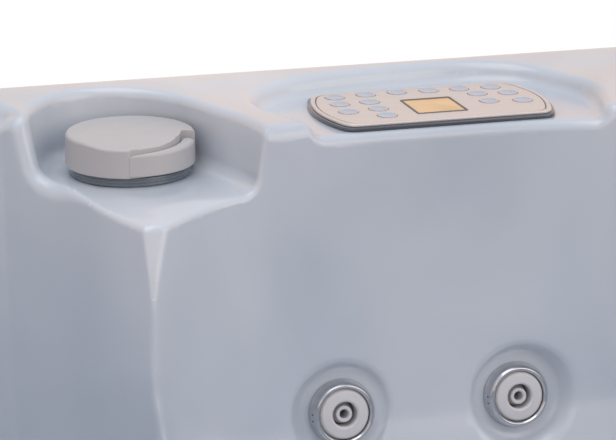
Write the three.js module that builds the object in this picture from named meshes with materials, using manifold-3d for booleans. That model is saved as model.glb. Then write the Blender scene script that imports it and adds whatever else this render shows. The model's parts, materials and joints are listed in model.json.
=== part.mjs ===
// Hot tub: moulded shell in an insulated cabinet, with control panel, diverter knob, jets, pump and filter.
// Millimetres, +Z up. The origin is the centre of the footprint, on the ground.
// The control panel is on the +Y side.

import * as THREE from 'three';
import { mergeVertices } from 'three/addons/utils/BufferGeometryUtils.js';
import Module from 'manifold-3d';

const wasm = await Module();
wasm.setup();

// Overall sizes
const tubWidth = 2000;
const tubHeight = 900;
const rimCornerRadius = 170;
const skirtDrop = 48;
const skirtThickness = 8;
const skin = 10;
const seat = 0.3;
const overrun = 20;

// Cavity
const rimWidth = 194;
const ridgeDepth = 98;
const noseOffset = 262;
const cornerRimWidth = 105;
const cornerWallStart = 360;
const cornerRadius = 245;
const bayPower = 3.4;
const wallLeanDegrees = 8;
const panelWallForward = 20;
const seatLip = 14;
const cornerLip = 26;
const seatDepth = 430;
const cornerSeatDrop = 24;
const backrestRise = 150;
const ridgeRise = 90;
const footwellReach = 400;
const footwellPower = 5;
const footwellFloor = 120;
const footwellTaper = 34;
const footwellFillet = 60;

// Pocket of the diverter knob
const knobX = -245;
const pocketDepth = 60;
const pocketClearance = 2;
const pocketReachX = 100;
const pocketReachY = 83;
const pocketFillet = 10;
const pocketLip = 22;
const crestRadius = 6;

// Diverter
const knobRadius = 58;
const knobHeight = 30;
const knobScoopDepth = 7;
const gripDepth = 13;
const gripGap = 1.2;
const gripFoot = 1.5;
const gripTopDrop = 4;
const gripProud = 1;
const gripStartDegrees = -92;
const gripEndDegrees = -14;
const knobEdge = 2;
const scoopReach = 90;
const scoopCentre = 45;
const plugHeight = 8;
const gateFlat = 6;
const ringRadius = 54;
const ringHeight = 8;
const neckRadius = 36;
const neckWall = 6;
const shaftRadius = 12;
const valveRadius = 44;
const valveDepth = 118;
const portRadius = 27;
const portBore = 22;
const portLength = 24;
const running = 0.4;

// Recess of the control panel
const panelX = 30;
const recessDepth = 18;
const recessClearance = 5;
const recessReachX = 160;
const recessReachY = 98;
const recessFillet = 8;
const recessLip = 12;

// Control panel
const panelWidth = 196;
const panelDepth = 124;
const panelBulge = 12;
const panelCorner = 12;
const housingThickness = 3.4;
const overlayThickness = 2.2;
const overlayInset = 2.5;
const bossWidth = 150;
const bossDepth = 60;
const bossHeight = 30;
const windowWidth = 48;
const windowDepth = 53;
const windowShift = 10;
const windowRise = 0.8;
const buttonRadius = 9;
const buttonHeight = 2.6;
const buttonTravel = 1;
const buttonClearance = 0.5;

// Jets
const jetOffset = 83;
const jetMiddle = 5;
const jetDrop = 270;
const dimpleRadius = 46;
const dimpleFloorRadius = 33;
const dimpleDepth = 6;
const jetTubeRadius = 24;
const jetTubeBore = 18;
const jetTubeLength = 84;
const jetFlange = 3;
const jetFlangeRadius = 30;
const escutcheonRadius = 30.8;
const escutcheonBore = 26;
const escutcheonHeight = 5;
const faceRadius = 25.4;
const faceHeight = 8;
const faceSleeve = 26;
const socketRadius = 11.5;
const nozzleRadius = 7.2;
const nozzleBore = 3.5;
const nozzleBall = 10.6;
const nozzleProud = 3;
const socketDepth = 15;
const jetPortLength = 40;
const jetPortSet = 60;
const jetPortRadius = 15;

// Cabinet
const cabinetSetback = 16;
const panelBoard = 16;
const frameThickness = 30;
const panThickness = 28;
const boardCount = 7;
const grooveDepth = 3;
const grooveWidth = 8;
const plinthHalf = 270;

// Equipment under the front seat
const equipmentSetback = 320;
const motorRadius = 78;
const motorLength = 250;
const motorX = -300;
const motorRib = 5;
const motorDome = 14;
const footHeight = 16;
const pumpRadius = 100;
const pumpThickness = 78;
const pumpWall = 7;
const impellerRadius = 76;
const impellerThickness = 34;
const driveShaftRadius = 9;
const pipeRadius = 24;
const pipeBore = 20;
const heaterRadius = 38;
const heaterLength = 330;
const heaterX = 330;
const heaterZ = 190;
const boxWidth = 330;
const boxDepth = 110;
const boxHeight = 250;
const boxX = 330;
const pipeRunInset = 277.7;
const pipeRunDrop = 110;

// Skimmer filter in the left side
const filterRadius = 56;
const filterClearance = 1.7;
const filterWall = 5;
const filterDepth = 400;
const weirWidth = 84;
const weirHeight = 96;
const weirThickness = 4;
const weirDrop = 46;
const lidRadius = 60;
const lidThickness = 7;
const lidPlug = 14;
const lidClearance = 1;
const cartridgeRadius = 44;
const cartridgeBore = 18;
const cartridgeLength = 220;
const pleatCount = 22;
const pleatDepth = 5;

// Small fittings
const suctionRadius = 62;
const suctionDome = 14;
const suctionTail = 60;
const lightRadius = 48;
const lightTail = 40;
const lightDome = 12;
const fittingRise = 130;
const drainRadius = 24;
const drainStem = 14;
const drainCap = 11;
const drainHeight = 90;
const drainInset = 270;

// Counts
const fine = 36;
const medium = 18;
const coarse = 12;
const small = 10;
const edgeSteps = 2;
const cornerSteps = 6;
const arcSteps = 10;
const plateSteps = 5;
const pipeSegments = 4;

const rad = THREE.MathUtils.degToRad;
const half = tubWidth / 2;
const wallSlope = Math.tan(rad(wallLeanDegrees));
const wallTop = tubHeight - seatLip;

// The wall below the panel stands forward at the top, to carry it, and meets the common slope at the jets
const panelWallSlope = wallSlope - panelWallForward / (wallTop - (tubHeight - jetDrop));

// Places that follow the tub's width and height
const seatWallReach = half - rimWidth;
const noseReach = seatWallReach - ridgeDepth;
const cornerWallReach = half - cornerRimWidth;
const seatLevel = tubHeight - seatDepth;
const cabinetReach = half - cabinetSetback;
const boardInner = cabinetReach - panelBoard;
const knobY = boardInner - skin - pocketClearance - pocketReachY;
const pocketFloor = tubHeight - pocketDepth;
const panelY = boardInner - skin - recessClearance - recessReachY;
const recessFloor = tubHeight - recessDepth;
const jetHeight = tubHeight - jetDrop;
const jetLeftX = jetMiddle - jetOffset;
const jetRightX = jetMiddle + jetOffset;
const wallOuter = boardInner - seat;
const wallInner = wallOuter - frameThickness;
const filterX = -(wallInner - filterRadius - filterClearance);
const equipmentY = -(half - equipmentSetback);
const fittingHeight = footwellFloor + fittingRise;

const acrylic = material(0xa9b1bf, 0.22, 0);
const warmGrey = material(0xbdb9b6, 0.42, 0);
const darkGloss = material(0x2f3640, 0.25, 0);
const silver = material(0xb9bcc4, 0.35, 0.6);
const amber = material(0xe6c999, 0.3, 0);
const buttonBlue = material(0x9fa9bb, 0.35, 0);
const steel = material(0x9a9da2, 0.28, 0.9);
const jetGrey = material(0xb7b8ba, 0.6, 0);
const board = material(0x6f675f, 0.7, 0);
const pan = material(0x2b2d2f, 0.6, 0);
const insulation = material(0xc9b48c, 0.9, 0);
const whitePipe = material(0xe4e4e0, 0.45, 0);
const motorPaint = material(0x30353b, 0.5, 0.3);
const pumpBlack = material(0x26282b, 0.5, 0);
const boxGrey = material(0x8d9296, 0.5, 0);
const filterWhite = material(0xe9ebea, 0.8, 0);

const group = new THREE.Group();

function material(color, roughness, metalness) {
  return new THREE.MeshStandardMaterial({ color, roughness, metalness });
}

// Solids: geometry to a closed solid and back

function solid(geometry) {
  const bare = geometry.clone();
  bare.deleteAttribute('normal');
  bare.deleteAttribute('uv');
  const merged = mergeVertices(bare);
  return new wasm.Manifold(new wasm.Mesh({
    numProp: 3,
    vertProperties: new Float32Array(merged.attributes.position.array),
    triVerts: new Uint32Array(merged.index.array),
  }));
}

function toGeometry(body) {
  const mesh = body.getMesh();
  const geometry = new THREE.BufferGeometry();
  geometry.setAttribute('position', new THREE.BufferAttribute(new Float32Array(mesh.vertProperties), 3));
  geometry.setIndex(new THREE.BufferAttribute(new Uint32Array(mesh.triVerts), 1));
  return geometry;
}

function add(name, shape, finish) {
  const geometry = shape.isBufferGeometry ? shape : toGeometry(shape);
  const mesh = new THREE.Mesh(geometry, finish);
  mesh.name = name;
  group.add(mesh);
  return mesh;
}

function box(x0, x1, y0, y1, z0, z1) {
  const geometry = new THREE.BoxGeometry(x1 - x0, y1 - y0, z1 - z0);
  geometry.translate((x0 + x1) / 2, (y0 + y1) / 2, (z0 + z1) / 2);
  return geometry;
}

function boxSolid(x0, x1, y0, y1, z0, z1) {
  return solid(box(x0, x1, y0, y1, z0, z1));
}

// A turned shape from its profile of (radius, height) pairs, axis up, closed on itself
function turned(profile, sides) {
  const points = profile.map(([r, h]) => new THREE.Vector2(r, h));
  points.push(points[0].clone());
  const geometry = new THREE.LatheGeometry(points, sides);
  geometry.rotateX(Math.PI / 2);
  return geometry;
}

// A round bar between two heights
function bar(radius, z0, z1, sides) {
  return turned([[0, z0], [radius, z0], [radius, z1], [0, z1]], sides);
}

function placed(geometry, x, y, z) {
  geometry.translate(x, y, z);
  return geometry;
}

function alongX(geometry) {
  return geometry.rotateY(Math.PI / 2);
}

// A plate from a closed outline, standing from z0 to z1
function plate(shape, z0, z1, curveSegments) {
  const geometry = new THREE.ExtrudeGeometry(shape, { depth: z1 - z0, bevelEnabled: false, curveSegments });
  geometry.translate(0, 0, z0);
  return geometry;
}

// A closed skin over rings of equal count, each anticlockwise from above, from the lowest to the highest
function loft(rings) {
  const count = rings[0].length;
  const positions = rings.flat().flatMap((p) => [p.x, p.y, p.z]);
  const index = [];
  for (let i = 0; i + 1 < rings.length; i += 1) {
    for (let j = 0; j < count; j += 1) {
      const a = i * count + j;
      const b = i * count + ((j + 1) % count);
      index.push(a, b, b + count, a, b + count, a + count);
    }
  }
  const last = (rings.length - 1) * count;
  for (const [a, b, c] of THREE.ShapeUtils.triangulateShape(flat(rings[0]), [])) {
    index.push(a, c, b);
  }
  for (const [a, b, c] of THREE.ShapeUtils.triangulateShape(flat(rings[rings.length - 1]), [])) {
    index.push(last + a, last + b, last + c);
  }
  const geometry = new THREE.BufferGeometry();
  geometry.setAttribute('position', new THREE.Float32BufferAttribute(positions, 3));
  geometry.setIndex(index);
  return geometry;
}

function flat(ring) {
  return ring.map((p) => new THREE.Vector2(p.x, p.y));
}

function lifted(outline, z) {
  return outline.map((p) => new THREE.Vector3(p.x, p.y, z));
}

// An outline moved outward by a distance, or by one distance for each point, with mitred corners
function grown(outline, distance) {
  const count = outline.length;
  return outline.map((p, i) => {
    const before = outline[(i + count - 1) % count];
    const after = outline[(i + 1) % count];
    const a = new THREE.Vector2(p.y - before.y, before.x - p.x).normalize();
    const b = new THREE.Vector2(after.y - p.y, p.x - after.x).normalize();
    const mitre = a.clone().add(b);
    const step = Array.isArray(distance) ? distance[i] : distance;
    mitre.multiplyScalar(step / (1 + a.dot(b)));
    return new THREE.Vector2(p.x + mitre.x, p.y + mitre.y);
  });
}

function roundedSquare(reach, radius, stepsPerCorner) {
  const outline = [];
  const centre = reach - radius;
  for (let corner = 0; corner < 4; corner += 1) {
    const turn = corner * Math.PI / 2;
    for (let i = 0; i <= stepsPerCorner; i += 1) {
      const angle = (i / stepsPerCorner) * Math.PI / 2;
      const x = centre + radius * Math.cos(angle);
      const y = centre + radius * Math.sin(angle);
      outline.push(new THREE.Vector2(x, y).rotateAround(new THREE.Vector2(), turn));
    }
  }
  return outline;
}

// Cavity plan: one eighth from the middle of a side to the diagonal, then mirrored and turned

function eighth() {
  const points = [];
  for (const share of baySpanShares) {
    const y = seatWallReach - (seatWallReach - noseReach) * share ** bayPower;
    const bay = 1 - share ** bayPower;
    points.push({ x: noseOffset * share, y, ridge: share ** ridgeFade, corner: 0, turn: 0, bay });
  }
  for (const [across, back] of flankShares) {
    const x = THREE.MathUtils.lerp(noseOffset, cornerWallStart, across);
    const y = THREE.MathUtils.lerp(noseReach, cornerWallReach, back);
    points.push({ x, y, ridge: 1 - back * back, corner: back, turn: 0, bay: 0 });
  }
  for (const share of cornerArcShares) {
    const turn = share * Math.PI / 4;
    const centre = cornerWallReach - cornerRadius;
    const x = centre + cornerRadius * Math.sin(turn);
    const y = centre + cornerRadius * Math.cos(turn);
    points.push({ x, y, ridge: 0, corner: 1, turn, bay: 0 });
  }
  return points.map((p, i) => ({ ...p, inner: i / (points.length - 1) }));
}

const baySpanShares = [0, 0.55, 0.82, 1];
const flankShares = [[0.26, 0.36], [0.51, 0.7], [1, 1]];
const cornerArcShares = [0, 0.5, 1];
const ridgeFade = 6;

function fullPlan() {
  const part = eighth();
  const toDiagonal = part.map((p) => ({ ...p, x: p.y, y: p.x, lean: p.turn, angle: p.inner * Math.PI / 4 }));
  const fromDiagonal = part.slice(1, -1).reverse().map((p) => ({
    ...p, lean: Math.PI / 2 - p.turn, angle: Math.PI / 2 - p.inner * Math.PI / 4,
  }));
  const quadrant = [...toDiagonal, ...fromDiagonal];
  const plan = [];
  for (let side = 0; side < 4; side += 1) {
    const turn = side * Math.PI / 2;
    for (const p of quadrant) {
      const place = new THREE.Vector2(p.x, p.y).rotateAround(new THREE.Vector2(), turn);
      const angle = p.angle + turn;
      const bay = Math.abs(angle - Math.PI / 2) < Math.PI / 4 ? p.bay : 0;
      plan.push({ ...p, x: place.x, y: place.y - panelWallForward * bay, lean: p.lean + turn, angle, bay });
    }
  }
  return plan;
}

const plan = fullPlan();
const outline = plan.map((p) => new THREE.Vector2(p.x, p.y));
const lips = plan.map((p) => THREE.MathUtils.lerp(seatLip, cornerLip, p.corner));

function superSquare(angle, reach) {
  const c = Math.abs(Math.cos(angle)) ** footwellPower;
  const s = Math.abs(Math.sin(angle)) ** footwellPower;
  const r = reach / (c + s) ** (1 / footwellPower);
  return new THREE.Vector2(r * Math.cos(angle), r * Math.sin(angle));
}

// A point of the wall at a height: the wall leans inward on its way down
function wallPoint(p, z) {
  const inset = (wallTop - z) * THREE.MathUtils.lerp(wallSlope, panelWallSlope, p.bay);
  return new THREE.Vector3(p.x - inset * Math.cos(p.lean), p.y - inset * Math.sin(p.lean), z);
}

// Seat section from the foot of the backrest to the footwell's edge
const seatAcrossShares = [0, 0.06, 0.17, 0.42, 0.85, 1];
const seatRiseShares = [1, 0.53, 0.16, -0.05, 0, -0.15];
const ridgeFallShare = 0.8;

function seatRing(step) {
  return plan.map((p) => {
    const level = seatLevel - cornerSeatDrop * p.corner;
    const ridgeHeight = ridgeRise * p.ridge * (1 - ridgeFallShare * seatAcrossShares[step]);
    const z = level + backrestRise * seatRiseShares[step] + ridgeHeight;
    const top = level + backrestRise + ridgeRise * p.ridge;
    const wall = wallPoint(p, top);
    const edge = superSquare(p.angle, footwellReach);
    const x = THREE.MathUtils.lerp(wall.x, edge.x, seatAcrossShares[step]);
    const y = THREE.MathUtils.lerp(wall.y, edge.y, seatAcrossShares[step]);
    return new THREE.Vector3(x, y, z);
  });
}

function footwellRing(inset, z) {
  return plan.map((p) => {
    const place = superSquare(p.angle, footwellReach - inset);
    return new THREE.Vector3(place.x, place.y, z);
  });
}

const filletSinkShare = 0.25;

function cavityRings() {
  const sink = footwellFillet * filletSinkShare;
  const rings = [
    footwellRing(footwellTaper + footwellFillet, footwellFloor),
    footwellRing(footwellTaper + sink, footwellFloor + sink),
    footwellRing(footwellTaper, footwellFloor + footwellFillet),
  ];
  for (let step = seatAcrossShares.length - 1; step >= 0; step -= 1) {
    rings.push(seatRing(step));
  }
  rings.push(plan.map((p, i) => wallPoint(p, tubHeight - lips[i])));
  return rings;
}

// The cavity's skin moved outward and down, for the outside of the moulding
function outerRings() {
  const rings = cavityRings();
  const outer = rings.map((ring, i) => {
    const shifted = grown(flat(ring), skin);
    const drop = i < rings.length - 2 ? skin : 0;
    return shifted.map((p, j) => new THREE.Vector3(p.x, p.y, ring[j].z - drop));
  });
  const brim = grown(outline, lips.map((r) => r + skin));
  return [...outer, lifted(brim, tubHeight - skin / 2)];
}

// The rolled edge over which a floor at a height falls into the cavity
function rolledEdge(top, radii, steps) {
  const rings = [];
  for (let i = 0; i <= steps; i += 1) {
    const angle = (i / steps) * Math.PI / 2;
    const outward = grown(outline, radii.map((r) => r * (1 - Math.cos(angle))));
    rings.push(outward.map((p, j) => {
      const z = top - radii[j] * (1 - Math.sin(angle));
      const inset = (wallTop - z) * wallSlope;
      const lean = plan[j].lean;
      return new THREE.Vector3(p.x - inset * Math.cos(lean), p.y - inset * Math.sin(lean), z);
    }));
  }
  return rings;
}

function cavity() {
  const edge = rolledEdge(tubHeight, lips, edgeSteps);
  const above = edge[edge.length - 1].map((p) => new THREE.Vector3(p.x, p.y, tubHeight + overrun));
  return solid(loft([...cavityRings().slice(0, -1), ...edge, above]));
}

// Section of the rolled outer edge, in shares of the skin: how far in, how far below the top
const crownShares = [[0, 1.6], [0.4, 0.7], [1.4, 0.2], [6, 0]];
const skirtFoot = tubHeight - skirtDrop;

function rimPlate() {
  const rise = tubHeight - skin;
  const crown = crownShares.map(([inset, drop]) => [skin * inset, tubHeight - skin * drop]);
  const profile = [[0, skirtFoot], ...crown];
  const rings = profile.map(([inset, z]) => (
    lifted(roundedSquare(half - inset, rimCornerRadius - inset, cornerSteps), z)
  ));
  const inside = half - skirtThickness;
  const under = [
    lifted(roundedSquare(inside, rimCornerRadius - skirtThickness, cornerSteps), skirtFoot - overrun),
    lifted(roundedSquare(inside, rimCornerRadius - skirtThickness, cornerSteps), rise - skin),
    lifted(roundedSquare(inside - skin, rimCornerRadius - skirtThickness - skin, cornerSteps), rise),
  ];
  return solid(loft(rings)).subtract(solid(loft(under)));
}

// Pocket and recess outlines as shares of their reach about the knob and the panel
const pocketShares = [
  [0.99, -1.02], [0.89, -0.6], [0.78, -0.05], [0.6, 0.4], [0.23, 0.76], [-0.1, 0.95],
  [-0.38, 1], [-0.62, 0.85], [-0.8, 0.55], [-0.92, 0.08],
];
const recessShares = [
  [0.94, -0.8], [0.98, -0.47], [1, 0.1], [0.91, 0.53], [0.74, 0.87], [0.51, 0.96],
  [-0.29, 1], [-0.6, 0.96], [-0.82, 0.77], [-1.01, 0.45], [-0.8, -0.5],
];
const mouthShare = 2.3;
const roundingShare = 0.3;

function mouthOutline(shares, x, y, reachX, reachY) {
  const front = y - reachY * mouthShare;
  const first = shares[0];
  const last = shares[shares.length - 1];
  const points = shares.map(([a, b]) => new THREE.Vector2(x + a * reachX, y + b * reachY));
  points.unshift(new THREE.Vector2(x + first[0] * reachX, front));
  points.push(new THREE.Vector2(x + last[0] * reachX, front));
  return points;
}

function hollow(points, floor, fillet, rise) {
  return solid(loft([
    lifted(grown(points, -fillet), floor),
    lifted(grown(points, -fillet * roundingShare), floor + fillet * roundingShare),
    lifted(points, floor + fillet),
    lifted(points, rise - crestRadius),
    lifted(grown(points, crestRadius * roundingShare), rise - crestRadius * roundingShare),
    lifted(grown(points, crestRadius), rise),
    lifted(grown(points, crestRadius), rise + overrun),
  ]));
}

// The moulding under a pocket: the same outline grown by the skin, kept outside the cavity
function backing(points, floor) {
  return solid(loft([
    lifted(grown(points, skin / 2), floor - skin),
    lifted(grown(points, skin), floor),
    lifted(grown(points, skin), tubHeight - skin / 2),
  ]));
}

const pocketOutline = mouthOutline(pocketShares, knobX, knobY, pocketReachX, pocketReachY);
const recessOutline = mouthOutline(recessShares, panelX, panelY, recessReachX, recessReachY);

// Rolled front edge of a pocket, limited to the pocket's own width
function mouthRoll(points, floor, radius) {
  const roll = rolledEdge(floor, outline.map(() => radius), edgeSteps);
  const above = roll[roll.length - 1].map((p) => new THREE.Vector3(p.x, p.y, tubHeight));
  const below = lifted(points, floor - radius - overrun);
  const column = solid(loft([below, lifted(points, tubHeight)]));
  return solid(loft([...roll, above])).intersect(column);
}

// Jets stand square to the leaning wall
const jetWallY = seatWallReach - (wallTop - jetHeight) * wallSlope;
const jetTurn = Math.PI - rad(wallLeanDegrees);

function jetPlaced(geometry, x) {
  geometry.rotateX(-Math.PI / 2);
  geometry.rotateX(jetTurn);
  const depthY = dimpleDepth * Math.cos(rad(wallLeanDegrees));
  const depthZ = dimpleDepth * Math.sin(rad(wallLeanDegrees));
  return placed(geometry, x, jetWallY + depthY, jetHeight - depthZ);
}

function dimple(x) {
  const cut = turned([
    [0, 0], [dimpleFloorRadius, 0], [dimpleRadius, dimpleDepth], [dimpleRadius, dimpleDepth + overrun],
    [0, dimpleDepth + overrun],
  ], medium);
  return solid(jetPlaced(cut, x));
}

function dimpleBacking(x) {
  return solid(jetPlaced(bar(dimpleRadius, -skin, 0, medium), x));
}

function jetHole(x) {
  return solid(jetPlaced(bar(jetTubeRadius + seat, -skin - overrun, overrun, medium), x));
}

// Fittings stand square to the footwell's sloping wall
const footwellRim = seatLevel + backrestRise * seatRiseShares[seatRiseShares.length - 1];
const footwellFoot = footwellFloor + footwellFillet;
const footwellAngle = Math.atan(footwellTaper / (footwellRim - footwellFoot));
const fittingY = footwellReach - (footwellRim - fittingHeight) * Math.tan(footwellAngle);

function footwellPlaced(geometry, side) {
  geometry.rotateX(side * (Math.PI / 2 - footwellAngle));
  return placed(geometry, 0, side * fittingY, fittingHeight);
}

function footwellHole(radius, side) {
  return solid(footwellPlaced(bar(radius, -skin - overrun, overrun, medium), side));
}

const lightTailRadius = lightRadius / 2;
const weirTop = tubHeight - weirDrop;
const weirWallX = -(seatWallReach - (wallTop - weirTop) * wallSlope);

function throatBox(grow, x0, x1) {
  const reach = weirWidth / 2 + grow;
  return boxSolid(x0, x1, -reach, reach, weirTop - weirHeight - grow, weirTop + grow);
}

function makeShell() {
  const well = bar(filterRadius + seat, tubHeight - skin - overrun, tubHeight + overrun, medium);
  const outside = solid(loft(outerRings()))
    .add(rimPlate())
    .add(backing(pocketOutline, pocketFloor))
    .add(backing(recessOutline, recessFloor))
    .add(dimpleBacking(jetLeftX))
    .add(dimpleBacking(jetRightX));
  const neckHole = bar(neckRadius + seat, pocketFloor - skin - overrun, tubHeight, medium);
  const bossHole = boxSolid(
    panelX - bossWidth / 2 - seat, panelX + bossWidth / 2 + seat,
    panelY - bossDepth / 2 - seat, panelY + bossDepth / 2 + seat, recessFloor - overrun, tubHeight,
  );
  return outside
    .subtract(cavity())
    .subtract(hollow(pocketOutline, pocketFloor, pocketFillet, tubHeight))
    .subtract(hollow(recessOutline, recessFloor, recessFillet, tubHeight))
    .subtract(mouthRoll(pocketOutline, pocketFloor, pocketLip))
    .subtract(mouthRoll(recessOutline, recessFloor, recessLip))
    .subtract(dimple(jetLeftX))
    .subtract(dimple(jetRightX))
    .subtract(jetHole(jetLeftX))
    .subtract(jetHole(jetRightX))
    .subtract(solid(placed(neckHole, knobX, knobY, 0)))
    .subtract(bossHole)
    .subtract(solid(placed(well, filterX, 0, 0)))
    .subtract(throatBox(seat, filterX, weirWallX + overrun * 2))
    .subtract(footwellHole(pipeRadius + seat, -1))
    .subtract(footwellHole(lightTailRadius + seat, 1));
}

// Cabinet: a moulded pan, four insulated walls that carry the rim, boarded panels and rounded corner posts
const postRadius = rimCornerRadius - cabinetSetback;
const straightReach = cabinetReach - postRadius;
const drainX = straightReach - drainInset;
const rimUnderside = tubHeight - skin;
const panelTop = rimUnderside - skin;
const deck = panThickness + seat;
const sideTurns = { back: 0, left: Math.PI / 2, front: Math.PI, right: -Math.PI / 2 };

function makePan() {
  const chamfer = panThickness / 4;
  const rings = [[chamfer, 0], [0, chamfer], [0, panThickness]].map(([inset, z]) => (
    lifted(roundedSquare(cabinetReach - inset, postRadius - inset, cornerSteps), z)
  ));
  const plinth = boxSolid(
    -plinthHalf, plinthHalf, -plinthHalf, plinthHalf, panThickness / 2, footwellFloor - skin - seat,
  );
  return solid(loft(rings)).add(plinth);
}

function makeWall(turn) {
  const reach = straightReach - seat;
  return solid(box(-reach, reach, wallInner, wallOuter, deck, rimUnderside - seat).rotateZ(turn));
}

// Room in the back wall for the underside of a pocket in the rim
function wallNotch(x, reach, floor) {
  const side = reach + skin * 2;
  const low = floor - skin - seat;
  return boxSolid(x - side, x + side, wallInner - overrun, wallOuter + overrun, low, tubHeight);
}

// Section of a boarded panel: x is the depth outward, y the height
function boardSection() {
  const shape = new THREE.Shape();
  const face = cabinetReach;
  const pitch = (panelTop - deck) / boardCount;
  shape.moveTo(face - panelBoard, deck);
  shape.lineTo(face, deck);
  for (let i = 1; i < boardCount; i += 1) {
    const z = deck + i * pitch;
    shape.lineTo(face, z - grooveWidth / 2);
    shape.lineTo(face - grooveDepth, z);
    shape.lineTo(face, z + grooveWidth / 2);
  }
  shape.lineTo(face, panelTop);
  shape.lineTo(face - panelBoard, panelTop);
  shape.closePath();
  return shape;
}

function makePanel(turn) {
  const length = 2 * (straightReach - seat);
  const geometry = plate(boardSection(), -length / 2, length / 2, 1);
  const basis = new THREE.Matrix4().makeBasis(
    new THREE.Vector3(0, 1, 0), new THREE.Vector3(0, 0, 1), new THREE.Vector3(1, 0, 0),
  );
  return solid(geometry.applyMatrix4(basis).rotateZ(turn));
}

function makePost(turn) {
  const shape = new THREE.Shape();
  const inner = postRadius - (cabinetReach - wallInner);
  shape.absarc(0, 0, postRadius, 0, Math.PI / 2, false);
  shape.absarc(0, 0, inner, Math.PI / 2, 0, true);
  const geometry = plate(shape, deck, panelTop, 8);
  geometry.translate(straightReach, straightReach, 0);
  return geometry.rotateZ(turn);
}

// Diverter: knob with a separate grip on a ring, rotor and valve below the pocket
const knobBottom = pocketFloor + seat + ringHeight + seat;
const socketHeight = knobHeight / 2;
const neckTop = pocketFloor + seat + ringHeight;
const valveTop = pocketFloor - skin - seat;
const valveBottom = valveTop - valveDepth;
const valveBore = neckRadius - neckWall;
const gripStart = rad(gripStartDegrees);
const gripEnd = rad(gripEndDegrees);

function sector(inner, outer, start, end, z0, z1) {
  const shape = new THREE.Shape();
  shape.absarc(0, 0, outer, start, end, false);
  shape.absarc(0, 0, inner, end, start, true);
  return plate(shape, z0, z1, arcSteps);
}

function scoop(drop) {
  const cutter = alongX(bar(scoopReach, -half / 4, half / 4, fine));
  return solid(placed(cutter, 0, -scoopCentre, knobHeight - drop + scoopReach));
}

function makeKnob() {
  const side = knobRadius - knobEdge / 2;
  const cap = turned([
    [0, 0], [side, 0], [knobRadius, knobEdge], [side, knobHeight - knobEdge],
    [side - knobEdge, knobHeight], [0, knobHeight],
  ], fine);
  const notchEnd = gripEnd + 2 * gripGap / knobRadius;
  const inner = knobRadius - gripDepth;
  const notch = sector(inner, knobRadius + overrun, gripStart, notchEnd, -overrun, knobHeight + overrun);
  const socket = bar(shaftRadius + seat, -overrun, socketHeight + seat, medium);
  const body = solid(cap).subtract(scoop(knobScoopDepth)).subtract(solid(notch)).subtract(solid(socket));
  return body.translate([knobX, knobY, knobBottom]);
}

function makeGrip() {
  const inner = knobRadius - gripDepth + seat;
  const angleGap = seat / knobRadius * 2;
  const top = knobHeight - gripTopDrop;
  const body = solid(sector(inner, knobRadius + gripProud, gripStart + angleGap, gripEnd, gripFoot, top));
  return body.translate([knobX, knobY, knobBottom]);
}

function makeRing() {
  const bevel = ringHeight / 4;
  const inner = neckRadius + running;
  return placed(turned([
    [inner, 0], [ringRadius, 0], [ringRadius, bevel], [ringRadius - bevel, ringHeight], [inner, ringHeight],
  ], medium), knobX, knobY, pocketFloor + seat);
}

function port(radius, bore) {
  const reach = valveRadius + portLength;
  return {
    outer: alongX(bar(radius, 0, reach, medium)),
    inner: alongX(bar(bore, 0, reach + overrun, medium)),
  };
}

const outletZ = valveBottom + valveDepth / 2;

function makeValve() {
  const barrel = bar(valveRadius, valveBottom, valveTop, medium);
  const neck = bar(neckRadius, valveTop - neckWall, neckTop, medium);
  const bore = bar(valveBore, valveBottom + neckWall, neckTop + overrun, medium);
  const inlet = bar(portRadius, valveBottom - portLength, valveBottom + neckWall, medium);
  const inletBore = bar(portBore, valveBottom - portLength - overrun, valveBottom + neckWall * 2, medium);
  const side = port(jetPortRadius, jetPortRadius - neckWall / 2);
  return solid(barrel)
    .add(solid(neck))
    .add(solid(inlet))
    .add(solid(placed(side.outer, 0, 0, outletZ)))
    .subtract(solid(bore))
    .subtract(solid(inletBore))
    .subtract(solid(placed(side.inner, 0, 0, outletZ)))
    .translate([knobX, knobY, 0]);
}

function makeRotor() {
  const drum = valveBore - running * 2;
  const low = valveBottom + neckWall + seat;
  const plugLow = neckTop - plugHeight;
  const body = bar(drum, low, plugLow, medium);
  const plug = bar(drum, plugLow - seat, neckTop, medium);
  const shaft = bar(shaftRadius, neckTop - seat, knobBottom + socketHeight, medium);
  const reach = valveBore + overrun;
  const waterway = boxSolid(-gateFlat, reach, -valveRadius, valveRadius, low - overrun, plugLow);
  return solid(body)
    .subtract(waterway)
    .add(solid(plug))
    .add(solid(shaft))
    .translate([knobX, knobY, 0]);
}

// Control panel: a plate with bulging ends
function panelShape(inset) {
  const x = panelWidth / 2 - inset;
  const y = panelDepth / 2 - inset;
  const flatX = x - panelCorner;
  const flatY = y - panelCorner;
  const shoulder = x + panelBulge * cornerBulgeShare;
  const bulge = x + panelBulge * (2 - cornerBulgeShare);
  const shape = new THREE.Shape();
  shape.moveTo(-flatX, -y);
  shape.lineTo(flatX, -y);
  shape.quadraticCurveTo(x, -y, shoulder, -flatY);
  shape.quadraticCurveTo(bulge, 0, shoulder, flatY);
  shape.quadraticCurveTo(x, y, flatX, y);
  shape.lineTo(-flatX, y);
  shape.quadraticCurveTo(-x, y, -shoulder, flatY);
  shape.quadraticCurveTo(-bulge, 0, -shoulder, -flatY);
  shape.quadraticCurveTo(-x, -y, -flatX, -y);
  return shape;
}

const cornerBulgeShare = 0.3;
const housingBottom = recessFloor + seat;
const housingTop = housingBottom + housingThickness;
const overlayBottom = housingTop + seat;
const overlayTop = overlayBottom + overlayThickness;

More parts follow.
